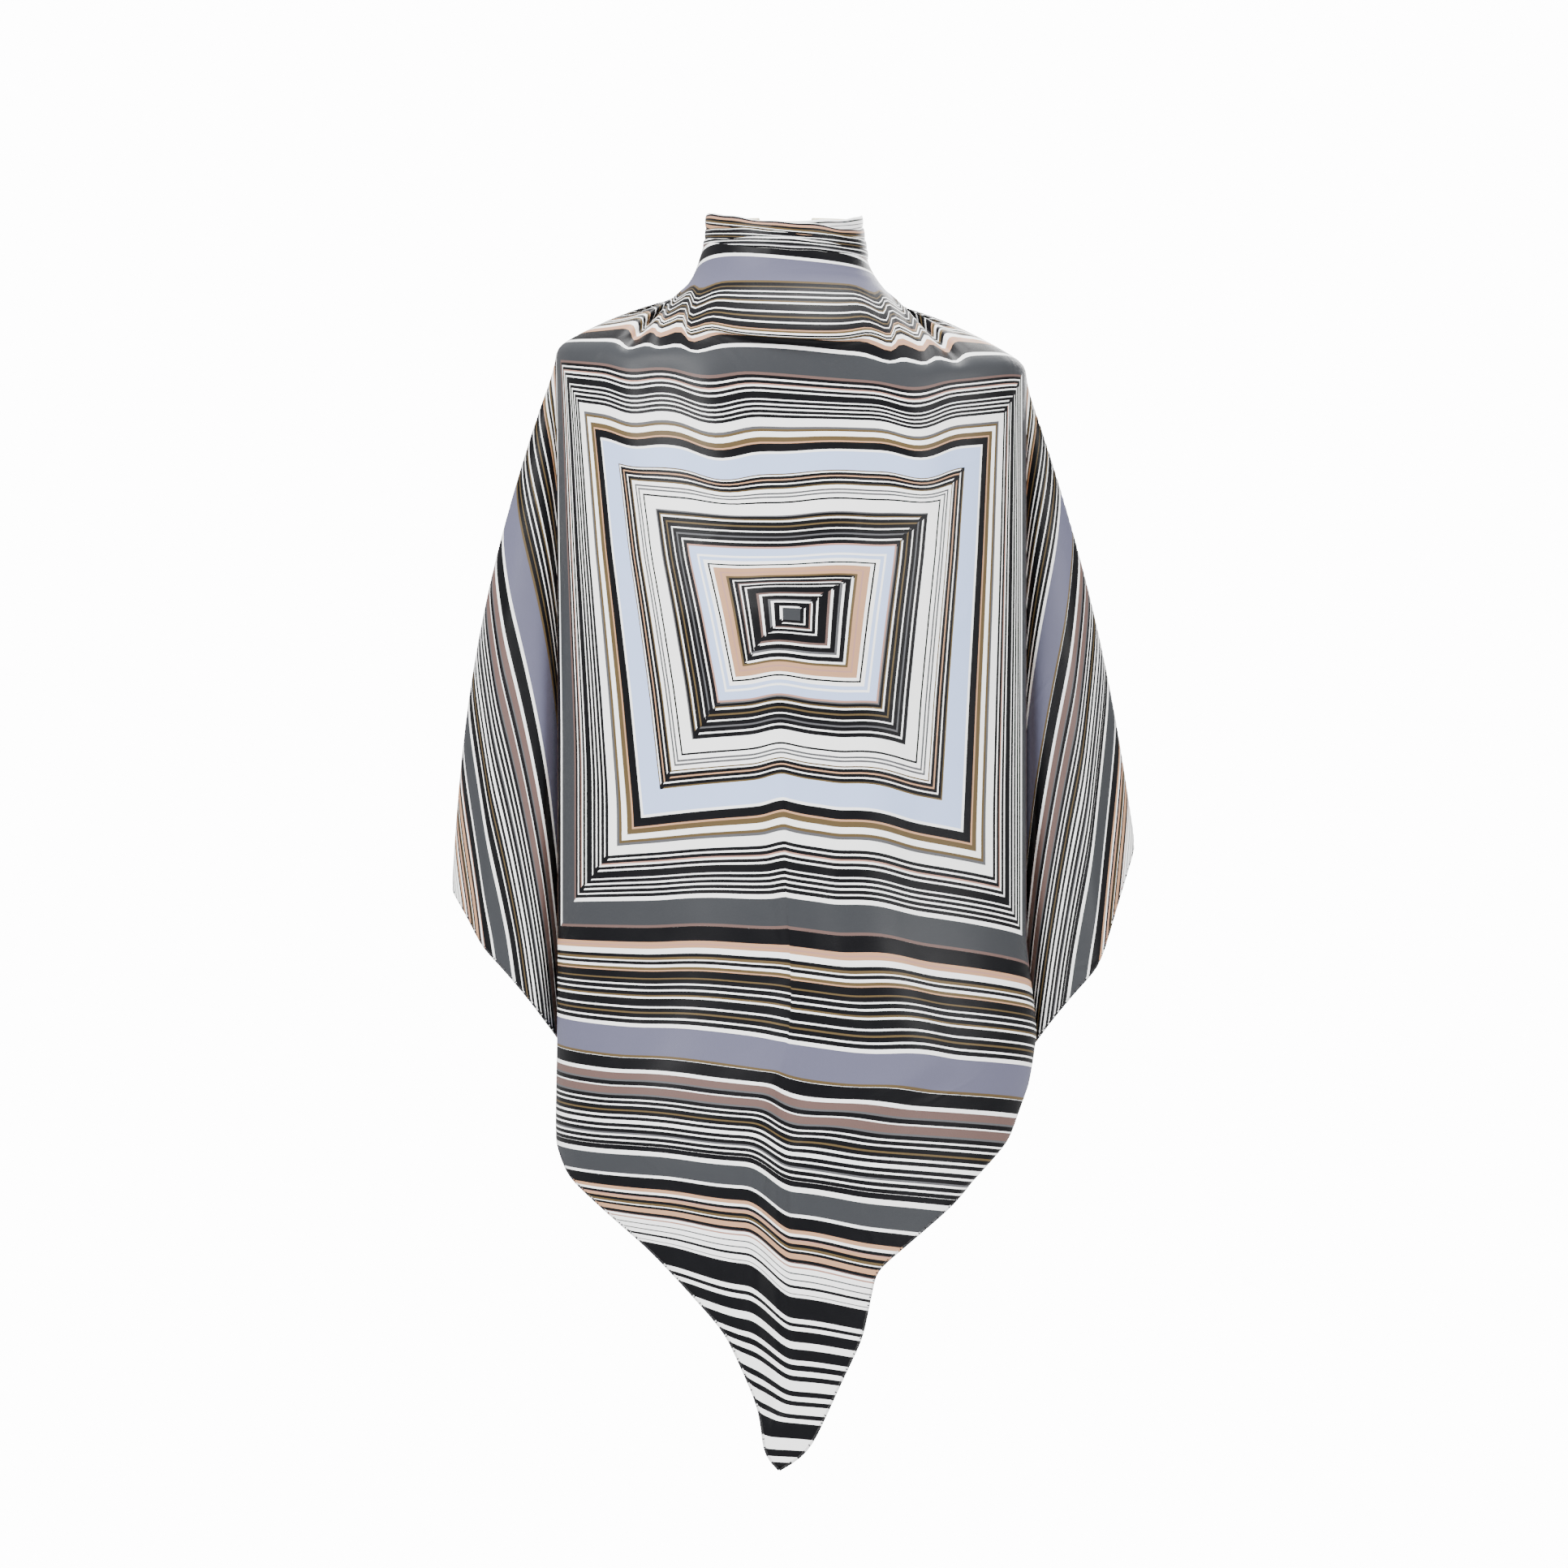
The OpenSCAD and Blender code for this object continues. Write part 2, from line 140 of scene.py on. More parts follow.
class Drape:
    """Where each point of the flat square hangs."""

    print_z = -281.0                        # height of the middle of the print
    fold_share = 0.375                      # panel fold, as a share of the half diagonal
    shoulder_share = 0.34                   # shoulder point, likewise
    wrap_h = 47.0                           # cloth that rises up the neck inside the tucks
    pleat_turn = 8.0                        # flat angle at the bottom of the hidden pleat
    ridge_turn = 37.0                       # flat angle of a wing's outer fold
    back_turn = 120.0                       # flat angle at which the wing's back becomes the yoke's back

    def __init__(self, side, cells):
        self.half_diagonal = side / math.sqrt(2)
        self.cell = self.half_diagonal / cells
        self.fold_a = round(self.fold_share * cells) * self.cell
        self.shoulder_b = round(self.shoulder_share * cells) * self.cell
        self.shoulder = {s: self.front(np.array([s * self.fold_a]), np.array([self.shoulder_b]))[0]
                         for s in (-1, 1)}
        self.ridge_end = {-1: np.array([LEFT_LOW[0] + RIDGE_INSET, RIDGE_Y, LEFT_RIDGE_Z]),
                          1: np.array([RIGHT_HIGH[0] - RIDGE_INSET, RIDGE_Y, RIGHT_RIDGE_Z])}

    # ---- front panel and lower point

    def depth(self, z):
        return CHEST * keyed(z / CAPE_LEN, (-1, 0.98), (-0.69, 0.97), (-0.5, 0.93), (-0.31, 1), (-0.12, 0.8))

    def half_width(self, side, z):
        swell = keyed(z / CAPE_LEN, (-0.7, 0), (-0.645, 8), (-0.57, 0))
        return HALF_W[side] + (swell if side > 0 else 0.0)

    def hem_turn(self, side, z):
        """Angle across the oval panel at which its edge lies at height z."""
        left = ((-1, 0.07), (-0.93, 0.105), (-0.868, 0.25), (-0.807, 0.59), (-0.757, 0.93), (-0.73, 1))
        right = ((-1, -0.05), (-0.96, 0.113), (-0.878, 0.305), (-0.825, 0.36), (-0.773, 0.69),
                 (-0.73, 0.92), (-0.69, 1))
        share = keyed(z / CAPE_LEN, *(left if side < 0 else right))
        return side * np.arcsin(np.clip(share, -1, 1))

    def rise(self, side, b, away):
        """How far a row of the cloth is lifted: away is 0 at the long fold and 1 at the panel's edge."""
        upper = ((-225, 6), (-146, 15), (-62, 15), (0, 0), (62, -22), (146, -19), (215, 0))
        if side < 0:
            near = keyed(b, (-636, 30), (-570, 44), (-510, 50), (-418, 24), (-311, 2), *upper)
            far = keyed(b, (-636, 30), (-570, 48), (-510, 59), (-418, 26), (-311, 12), (-220, 4), (-146, -8),
                        (-62, 2), (0, 2), (62, 0), (146, 8), (215, 4))
        else:
            near = keyed(b, (-636, 30), (-570, 17), (-510, 14), (-418, -5), (-311, -10), *upper)
            far = keyed(b, (-636, 30), (-570, 16), (-510, 10), (-418, -16), (-311, -28), (-220, -28),
                        (-146, -26), (-62, -10), (0, -8), (62, -4), (146, -2), (215, -10))
        return near + (far - near) * away ** 1.4

    def lean(self, side, a, b):
        """Sideways slip of the cloth: both halves of the print lean in towards their foot."""
        if side > 0:
            share = keyed(a, (0, 0.0), (20, -0.04), (57, -0.1), (110, -0.08), (170, -0.03), (205, 0))
            return share * np.clip(a - b, -20, 300) * smooth(-330, -190, b)
        share = keyed(np.abs(a), (0, 0.0), (20, 0.08), (57, 0.16), (140, 0.11), (196, 0.046), (240, 0.0))
        return share * np.clip(np.abs(a) - b, -20, 300) * smooth(-400, -250, b)

    def long_fold(self, level, b, fold_x, gape, edge_turn, row_half):
        """Angles of the long fold's two sides, the cloth's run beyond each, and the cloth left over."""
        fold_turn = {s: np.arcsin((fold_x + s * gape) / self.half_width(s, level)) for s in (-1, 1)}
        run = {s: arc_length(fold_turn[s], edge_turn[s], self.half_width(s, level), self.depth(level))
               for s in (-1, 1)}
        spare = np.clip(2 * row_half - 1.02 * (run[-1] + run[1]), 0, None) * smooth(-150, -380, b)
        return fold_turn, run, spare

    def front(self, a, b):
        """The front panel and the lower point, with the long fold down their middle."""
        level = self.print_z + b - 0.0004 * np.clip(b, 0, None) ** 2
        row_half = np.clip(self.half_diagonal - np.abs(b), 1, self.fold_a)
        fold_x = keyed(b, (-636, -11), (-420, -12), (-150, -5), (215, 0))
        edge_z = {s: level + self.rise(s, b, np.ones_like(b)) for s in (-1, 1)}
        edge_turn = {s: self.hem_turn(s, edge_z[s]) for s in (-1, 1)}
        zero = np.zeros_like(b)
        spare = self.long_fold(level, b, fold_x, zero, edge_turn, row_half)[-1]
        gape = np.minimum(17.0, 0.45 * spare) * smooth(-634, -570, b)
        fold_turn, run, spare = self.long_fold(level, b, fold_x, gape, edge_turn, row_half)
        left_end = -row_half + (2 * row_half - spare) * run[-1] / (run[-1] + run[1])
        right_end = left_end + spare
        place = np.zeros(a.shape + (3,))
        near = {s: self.rise(s, b, zero) for s in (-1, 1)}
        jump = (near[1] - near[-1]) * (0.5 - 0.34 * smooth(0, 80, spare))
        for s, end in ((-1, left_end), (1, right_end)):
            away = np.clip((a - end) / (s * row_half - end + s * 1e-6), 0, 1)
            turn = fold_turn[s] + (edge_turn[s] - fold_turn[s]) * (0.92 * away + 0.08 * away ** 3)
            here = (a <= left_end) if s < 0 else (a > left_end)
            z = level + self.rise(s, b, away) - s * jump * bump(a, end, 60)
            point = np.stack([self.half_width(s, z) * np.sin(turn), -self.depth(z) * np.cos(turn), z], -1)
            point[..., 0] += self.lean(s, a, b)
            place[here] = point[here]
        # the long fold: cloth that comes a little forward, then dips behind the right half
        through = np.clip((a - left_end) / np.maximum(spare, 1e-6), 0, 1)
        inside = (a > left_end) & (a < right_end)
        step = smooth(0, 1, through)
        z = level + (near[-1] + jump) * (1 - step) + (near[1] - jump) * step
        deep = smooth(15, 70, spare)
        pocket = deep * (3.0 * np.sin(np.pi * through) - 3.5 * np.sin(2 * np.pi * through))
        turn = fold_turn[-1] + (fold_turn[1] - fold_turn[-1]) * through
        across = fold_x + gape * (2 * through - 1)
        across = across + self.lean(-1, left_end, b) * (1 - step) + self.lean(1, right_end, b) * step
        fold = np.stack([across, -self.depth(z) * np.cos(turn) + pocket, z], -1)
        place[inside] = fold[inside]
        slack = 11.0 * bump(a, 0, self.fold_a) + 7.0 * bump(a, 80, 120)
        place[..., 2] -= slack * smooth(130, 215, b)
        return place + self.soft_folds(a, b)

    def soft_folds(self, a, b):
        """Shallow vertical folds that run down the front and bend the stripes."""
        folds = (                            # top a, b, foot a, b, width, stand-off, drop of the stripes
            (-58, 214, -40, 96, 28, 6.0, 8.0), (-116, 214, -112, 120, 24, 4.0, 5.0),
            (84, 214, 96, 90, 30, 6.0, 8.0), (-6, 60, -22, -250, 30, 3.5, -3.0),
            (70, -30, 96, -420, 34, 4.0, -3.5), (-100, -180, -120, -420, 40, 3.0, -2.0),
            (24, 160, 34, -60, 34, 2.5, -2.5))
        shift = np.zeros(a.shape + (3,))
        for top_a, top_b, foot_a, foot_b, width, out, drop in folds:
            reach = (top_b - b) / (top_b - foot_b)
            along = np.clip(reach, 0, 1)
            fade = smooth(-0.15, 0.2, reach) * (1 - smooth(0.6, 1.1, reach))
            share = bump(a, top_a + (foot_a - top_a) * along, width) * fade
            shift[..., 1] -= out * share
            shift[..., 2] -= drop * share
        return shift

    # ---- yoke, neck and wings

    def neck_line(self, a):
        """Flat height at which the cloth reaches the collar's foot."""
        return 300.0 + 0.0022 * a * a

    def neck_turn(self, a):
        """Angle round the neck of the point of the neck line at a."""
        k = 0.0044 * np.abs(a)
        length = (k * np.sqrt(1 + k * k) + np.arcsinh(k)) / 0.0088
        return np.sign(a) * np.minimum(length / 62.0, 2.97)

    def neck(self, a, h):
        """The cloth h above the neck line, wound round the neck and slanting down to the right."""
        turn = self.neck_turn(a)
        stand_off = keyed(h, (0, 13), (8, 11), (25, 6), (47, 3))
        r = BAND_R + stand_off * (1 - 0.65 * smooth(1.7, 2.25, np.abs(turn)))
        z = NECK_Z + keyed(h, (0, -2), (15, 9), (47, 33)) - 6 * np.sin(turn) * smooth(-10, 25, h)
        z = z + 1.5 * (1 - np.cos(turn)) + 8.0 * np.sin(turn) ** 2
        return np.stack([r * np.sin(turn), -r * np.cos(turn), z], -1)

    def gathers(self, a):
        """How strongly the cloth is gathered at a, from 0 to 1."""
        ridges = ((-118, 14), (-90, 13), (-62, 13), (64, 13), (92, 13), (122, 14))
        share = np.zeros_like(a)
        for centre, width in ridges:
            share = np.maximum(share, bump(a, centre, width))
        return share

    def yoke(self, a, b):
        """The cloth between the shoulders and the neck line, with the cowl in front."""
        t = np.clip((b - self.shoulder_b) / (self.neck_line(a) - self.shoulder_b), 0, 1)
        base = self.front(a, np.full_like(b, self.shoulder_b))
        place = base + (self.neck(a, np.zeros_like(a)) - base) * t[..., None]
        turn = self.neck_turn(a)
        cowl = np.cos(np.clip(np.abs(a) / 74, 0, 1) * np.pi / 2) ** 1.2
        out = cowl * keyed(t, (0, 0), (0.2, 0), (0.28, 12), (0.36, 23), (0.48, 24), (0.77, 12), (1, 0))
        sag = cowl * keyed(t, (0, 0), (0.2, 6), (0.28, 0), (0.36, -12), (0.48, -12), (0.7, -6), (1, 0))
        pull = self.gathers(a) * keyed(t, (0, 0.3), (0.25, 0.9), (0.6, 1), (0.9, 0.6), (1, 0.1))
        back = smooth(120, 165, np.abs(a))
        out = out + 11.0 * pull + 12.0 * np.sin(a * 2 * np.pi / 32) * back * smooth(0.1, 0.5, t)
        sag = sag + 8.0 * bump(np.abs(a), 78, 50) * keyed(t, (0, 0), (0.3, 1), (0.7, 0.6), (1, 0))
        sag = sag + 15.0 * 4 * t * (1 - t) * smooth(50, 150, np.abs(a))
        place[..., 0] += out * np.sin(turn)
        place[..., 1] -= out * np.cos(turn)
        place[..., 2] += sag - 16.0 * pull
        return place

    def wing_direction(self, side, turn):
        """Step from the shoulder, per flat millimetre, along the cloth at that flat angle."""
        angle = math.radians(self.ridge_turn)
        flat = (self.half_diagonal - self.fold_a + self.shoulder_b) / (math.sin(angle) + math.cos(angle))
        ridge = (self.ridge_end[side] - self.shoulder[side]) / flat
        keys = ((-60, (-0.58, -0.65, -0.5)), (0, (0, 0, -1)), (8, (-0.03, 0.12, -0.99)),
                (16, (0.02, 0.0, -0.99)), (26, (0.12, 0.03, -0.96)),
                (self.ridge_turn, (side * ridge[0], ridge[1], ridge[2])),
                (48, (0.12, 0.25, -0.93)), (62, (-0.172, 0.26, -0.93)), (90, (-0.53, 0.53, -0.64)),
                (120, (-0.78, 0.59, -0.18)), (150, (-0.87, 0.48, 0.12)), (181, (-0.889, 0.357, 0.292)))
        fine = np.arange(-90.0, 271.0)
        reach, width = 18, 6.0
        spread = np.exp(-0.5 * (np.arange(-reach, reach + 1) / width) ** 2)
        columns = []
        for part in range(3):
            plain = keyed(fine, *[(k, v[part]) for k, v in keys])
            soft = np.convolve(np.pad(plain, reach, mode="edge"), spread / spread.sum(), mode="valid")
            eased = plain + (soft - plain) * smooth(30, 50, fine)
            columns.append(np.interp(turn, fine, eased))
        d = np.stack(columns, -1)
        d[..., 0] *= side
        return d

    def flat_polar(self, side, a, b):
        """Flat angle and distance of a point from its shoulder, 0 straight down."""
        da, db = side * a - self.fold_a, self.shoulder_b - b
        turn = np.degrees(np.arctan2(da, db))
        return np.where(turn < -90, turn + 360, turn), np.hypot(da, db)

    def wing(self, side, a, b):
        """A wing, which fans out from its shoulder round a pleat, an outer fold and a back fall."""
        turn, r = self.flat_polar(side, a, b)
        r = np.maximum(r, 1e-3)
        place = self.shoulder[side] + r[..., None] * self.wing_direction(side, turn)
        on_ridge = bump(turn, self.ridge_turn, 26)
        bow = (17.0 if side < 0 else 10.0) * np.sin(np.pi * np.clip(r / 450, 0, 1)) * on_ridge
        place[..., 0] += side * bow
        wave = np.sin(np.radians(turn - self.ridge_turn) * 9)
        ripple = 5.0 * wave * smooth(60, 400, r) * smooth(40, 56, turn)
        gathered = 11.0 * np.sin((turn - 118) * 2 * np.pi / 16) * smooth(20, 90, r) * smooth(112, 130, turn)
        place[..., 1] += ripple + 0.7 * gathered
        place[..., 2] += 0.7 * gathered
        # the pleat starts on the panel's edge, and the back's last row on the yoke's
        fold = np.full_like(a, side * self.fold_a)
        edge = self.front(fold, self.shoulder_b - r)
        plain = self.shoulder[side] + r[..., None] * self.wing_direction(side, np.zeros_like(turn))
        place = place + (edge - plain) * (1 - smooth(0, 9, turn))[..., None]
        edge = self.yoke(fold, self.shoulder_b + r)
        plain = self.shoulder[side] + r[..., None] * self.wing_direction(side, np.full_like(turn, 180))
        return place + (edge - plain) * smooth(125, 180, turn)[..., None]

    def place(self, a, b):
        """Where the points (a, b) of the flat square hang."""
        out = self.front(a, b)
        up = b > self.shoulder_b
        out[up] = self.yoke(a, b)[up]
        for side in (-1, 1):
            beyond = side * a > self.fold_a
            out[beyond] = self.wing(side, a, b)[beyond]
        h = b - self.neck_line(a)
        wound = h > 0
        out[wound] = self.neck(a, np.clip(h, 0, self.wrap_h))[wound]
        return out


# ---------------------------------------------------------------- the cloth as a grid of cells

class Cloth:
    """The draped square on a grid of cells that run along a and b, with the cells cut in half at its hem."""

    half_thick = 0.3
    softening = 0.5                         # share of the way that one round of softening moves a point
    fold_rounds = 5                         # times more rounds where the long fold begins

    def __init__(self, side, cells, rounds):
        self.drape = Drape(side, cells)
        self.cells = cells
        step = np.arange(-cells, cells + 1)
        self.i, self.j = np.meshgrid(step, step, indexing="ij")
        self.a, self.b = self.i * self.drape.cell, self.j * self.drape.cell
        self.inside = np.abs(self.i) + np.abs(self.j) <= cells
        self.points = np.zeros(self.a.shape + (3,))
        self.points[self.inside] = self.drape.place(self.a[self.inside], self.b[self.inside])
        for _ in range(rounds):
            self.soften()
        sharp = self.points.copy()
        for _ in range(self.fold_rounds * rounds):
            self.soften()
        eased = bump(self.a, 10, 90) * bump(self.b, -340, 220)      # where the long fold begins
        self.points = sharp + (self.points - sharp) * eased[..., None]
        self.normals = self.find_normals()

    def moved(self, field, di, dj):
        """The field read one cell further on, with nothing past the grid's edge."""
        out = np.roll(field, (-di, -dj), (0, 1))
        if di:
            out[-1 if di > 0 else 0] = 0
        if dj:
            out[:, -1 if dj > 0 else 0] = 0
        return out

    def soften(self):
        """Rounds the folds a little: each point moves towards the middle of the pairs across it."""
        total = np.zeros_like(self.points)
        count = np.zeros(self.a.shape)
        for di, dj in ((1, 0), (0, 1), (1, 1), (1, -1)):
            both = self.inside & self.moved(self.inside, di, dj) & self.moved(self.inside, -di, -dj)
            middle = 0.5 * (self.moved(self.points, di, dj) + self.moved(self.points, -di, -dj))
            total[both] += middle[both]
            count[both] += 1
        free = self.inside & (count > 0)
        pull = total[free] / count[free][:, None] - self.points[free]
        self.points[free] += self.softening * pull

    def slope(self, di, dj):
        """Step in space from the point behind each point to the one ahead, or half of it at the hem."""
        ahead, behind = self.moved(self.points, di, dj), self.moved(self.points, -di, -dj)
        has_ahead, has_behind = self.moved(self.inside, di, dj), self.moved(self.inside, -di, -dj)
        ahead = np.where(has_ahead[..., None], ahead, self.points)
        behind = np.where(has_behind[..., None], behind, self.points)
        return ahead - behind

    def find_normals(self):
        """The unit direction out of the cloth's printed side at each point."""
        n = np.cross(self.slope(1, 0), self.slope(0, 1))
        length = np.linalg.norm(n, axis=-1, keepdims=True)
        return np.divide(n, length, out=np.zeros_like(n), where=length > 1e-9)

    def cell_faces(self, chosen):
        """Faces of the cells whose middle passes chosen(a, b), as lists of flat grid indices."""
        faces = []
        index = np.arange(self.i.size).reshape(self.i.shape)
        corner = [index[:-1, :-1], index[1:, :-1], index[1:, 1:], index[:-1, 1:]]
        there = [self.inside.ravel()[c] for c in corner]
        middle_a = 0.5 * (self.a[:-1, :-1] + self.a[1:, 1:])
        middle_b = 0.5 * (self.b[:-1, :-1] + self.b[1:, 1:])
        wanted = chosen(middle_a, middle_b)
        for row, column in zip(*np.nonzero(wanted & (sum(t.astype(int) for t in there) >= 3))):
            faces.append([int(c[row, column]) for c, t in zip(corner, there) if t[row, column]])
        return faces

    def area(self, faces):
        """Flat area of those faces, in square metres."""
        cell = (self.drape.cell * MM) ** 2
        return sum(cell if len(f) == 4 else cell / 2 for f in faces)

    def build(self, name, chosen):
        """A closed two-sided sheet of the chosen cells."""
        faces = self.cell_faces(chosen)
        used = sorted({v for f in faces for v in f})
        count = len(used)
        place = {v: k for k, v in enumerate(used)}
        points, normals = self.points.reshape(-1, 3)[used], self.normals.reshape(-1, 3)[used]
        flat = np.stack([self.a.ravel()[used], self.b.ravel()[used]], -1)
        outer = [[place[v] for v in f] for f in faces]
        inner = [[v + count for v in reversed(f)] for f in outer]
        edges = {}
        for f in outer:
            for u, v in zip(f, f[1:] + f[:1]):
                edges[(u, v)] = True
        rim = [[v, u, u + count, v + count] for u, v in edges if (v, u) not in edges]
        corners = np.concatenate([points + normals * self.half_thick, points - normals * self.half_thick])
        sides = np.concatenate([normals, -normals])
        obj = new_mesh(name, corners, outer + inner + rim, np.concatenate([flat, flat]),
                       [0] * len(outer) + [1] * len(inner) + [1] * len(rim))
        loops = [tuple(sides[v]) for f in outer + inner for v in f] + [(0.0, 0.0, 0.0)] * (4 * len(rim))
        obj.data.normals_split_custom_set(loops)
        obj["flat_area"] = self.area(faces)
        return obj, flat

    def hem_path(self, sx, sy, chosen):
        """Flat grid indices along one edge of the square, from its side corner to its top or bottom."""
        row = [(sx * (self.cells - k), sy * k) for k in range(self.cells + 1)]
        size = self.i.shape[1]
        index = [(x + self.cells) * size + y + self.cells for x, y in row]
        a, b = self.a.ravel()[index], self.b.ravel()[index]
        keep = chosen(a, b)
        return [v for v, k in zip(index, keep) if k]


def new_mesh(name, points, faces, flat, face_slots):
    """A mesh object from points in millimetres, with the flat cloth coordinates of each as its UV map."""
    mesh = bpy.data.meshes.new(name)
    mesh.from_pydata((np.asarray(points) * MM).tolist(), [], faces)
    mesh.polygons.foreach_set("material_index", face_slots)
    mesh.polygons.foreach_set("use_smooth", [True] * len(faces))
    layer = mesh.uv_layers.new(name="flat")
    corners = np.array([v for f in faces for v in f])
    layer.data.foreach_set("uv", (np.asarray(flat)[corners] * MM).ravel())
    mesh.update()
    obj = bpy.data.objects.new(name, mesh)
    bpy.context.scene.collection.objects.link(obj)
    return obj


def frames_along(path):
    """Two unit directions across each point of a path, carried along it without twist."""
    along = np.gradient(path, axis=0)
    along /= np.linalg.norm(along, axis=1, keepdims=True) + 1e-12
    across = np.cross(along[0], (0.31, 0.22, 0.93))
    first, second = [], []
    for t in along:
        across = across - t * (across @ t)
        across = across / np.linalg.norm(across)
        first.append(across)
        second.append(np.cross(t, across))
    return np.array(first), np.array(second)


def tube(name, path, flat, radius, sides=8):
    """A round tube along a path, closed at both ends. Its UV map keeps the flat place of each point."""
    path, flat = np.asarray(path, float), np.asarray(flat, float)
    first, second = frames_along(path)
    turn = np.arange(sides) / sides * 2 * math.pi
    ring = np.cos(turn)[None, :, None] * first[:, None] + np.sin(turn)[None, :, None] * second[:, None]
    points = path[:, None] + ring * radius
    count = len(path)
    faces = [[k * sides + m, k * sides + (m + 1) % sides, (k + 1) * sides + (m + 1) % sides,
              (k + 1) * sides + m] for k in range(count - 1) for m in range(sides)]
    faces.append(list(range(sides - 1, -1, -1)))
    faces.append([(count - 1) * sides + m for m in range(sides)])
    obj = new_mesh(name, points.reshape(-1, 3), faces, np.repeat(flat, sides, axis=0), [0] * len(faces))
    run = np.concatenate([[0], np.cumsum(np.linalg.norm(np.diff(path, axis=0), axis=1))])
    lengths = obj.data.attributes.new("run", "FLOAT", "POINT")
    lengths.data.foreach_set("value", np.repeat(run * MM, sides))
    return obj


def grid_shell(name, outer, inner, flat):
    """A closed slab between two grids of the same shape, with the flat place of each grid point."""
    rows, columns = outer.shape[:2]
    index = np.arange(rows * columns).reshape(rows, columns)
    quads = np.stack([index[:-1, :-1], index[1:, :-1], index[1:, 1:], index[:-1, 1:]], -1).reshape(-1, 4)
    rim = np.concatenate([index[:, 0], index[-1, 1:], index[-2::-1, -1], index[0, -2:0:-1]])
    count = rows * columns
    faces = quads.tolist() + (quads[:, ::-1] + count).tolist()
    sides = [[int(v), int(u), int(u) + count, int(v) + count] for u, v in zip(rim, np.roll(rim, -1))]
    points = np.concatenate([outer.reshape(-1, 3), inner.reshape(-1, 3)])
    flat = np.concatenate([flat.reshape(-1, 2)] * 2)
    marks = [0] * len(quads) + [1] * (len(quads) + len(sides))
    return new_mesh(name, points, faces + sides, flat, marks)


def round_neck(r, turn, z):
    """Points round the neck: the angle goes from the front through the wearer's left."""
    r, turn, z = np.broadcast_arrays(r, turn, z)
    return np.stack([r * np.sin(turn), -r * np.cos(turn), z], -1)


# ---------------------------------------------------------------- shader maths

class Value:
    """A socket that carries a number, with the usual arithmetic."""

    def __init__(self, shader, socket):
        self.shader, self.socket = shader, socket

    def __add__(self, other):
        return self.shader.math("ADD", self, other)

    def __radd__(self, other):
        return self.shader.math("ADD", other, self)

    def __sub__(self, other):
        return self.shader.math("SUBTRACT", self, other)

    def __rsub__(self, other):
        return self.shader.math("SUBTRACT", other, self)

    def __mul__(self, other):
        return self.shader.math("MULTIPLY", self, other)

    def __rmul__(self, other):
        return self.shader.math("MULTIPLY", other, self)

    def __truediv__(self, other):
        return self.shader.math("DIVIDE", self, other)

    def __gt__(self, other):
        return self.shader.math("GREATER_THAN", self, other)

    def __lt__(self, other):
        return self.shader.math("LESS_THAN", self, other)

    def maximum(self, other):
        return self.shader.math("MAXIMUM", self, other)

    def __abs__(self):
        return self.shader.math("ABSOLUTE", self)

    def fraction(self):
        return self.shader.math("FRACT", self)

    def sine(self):
        return self.shader.math("SINE", self)


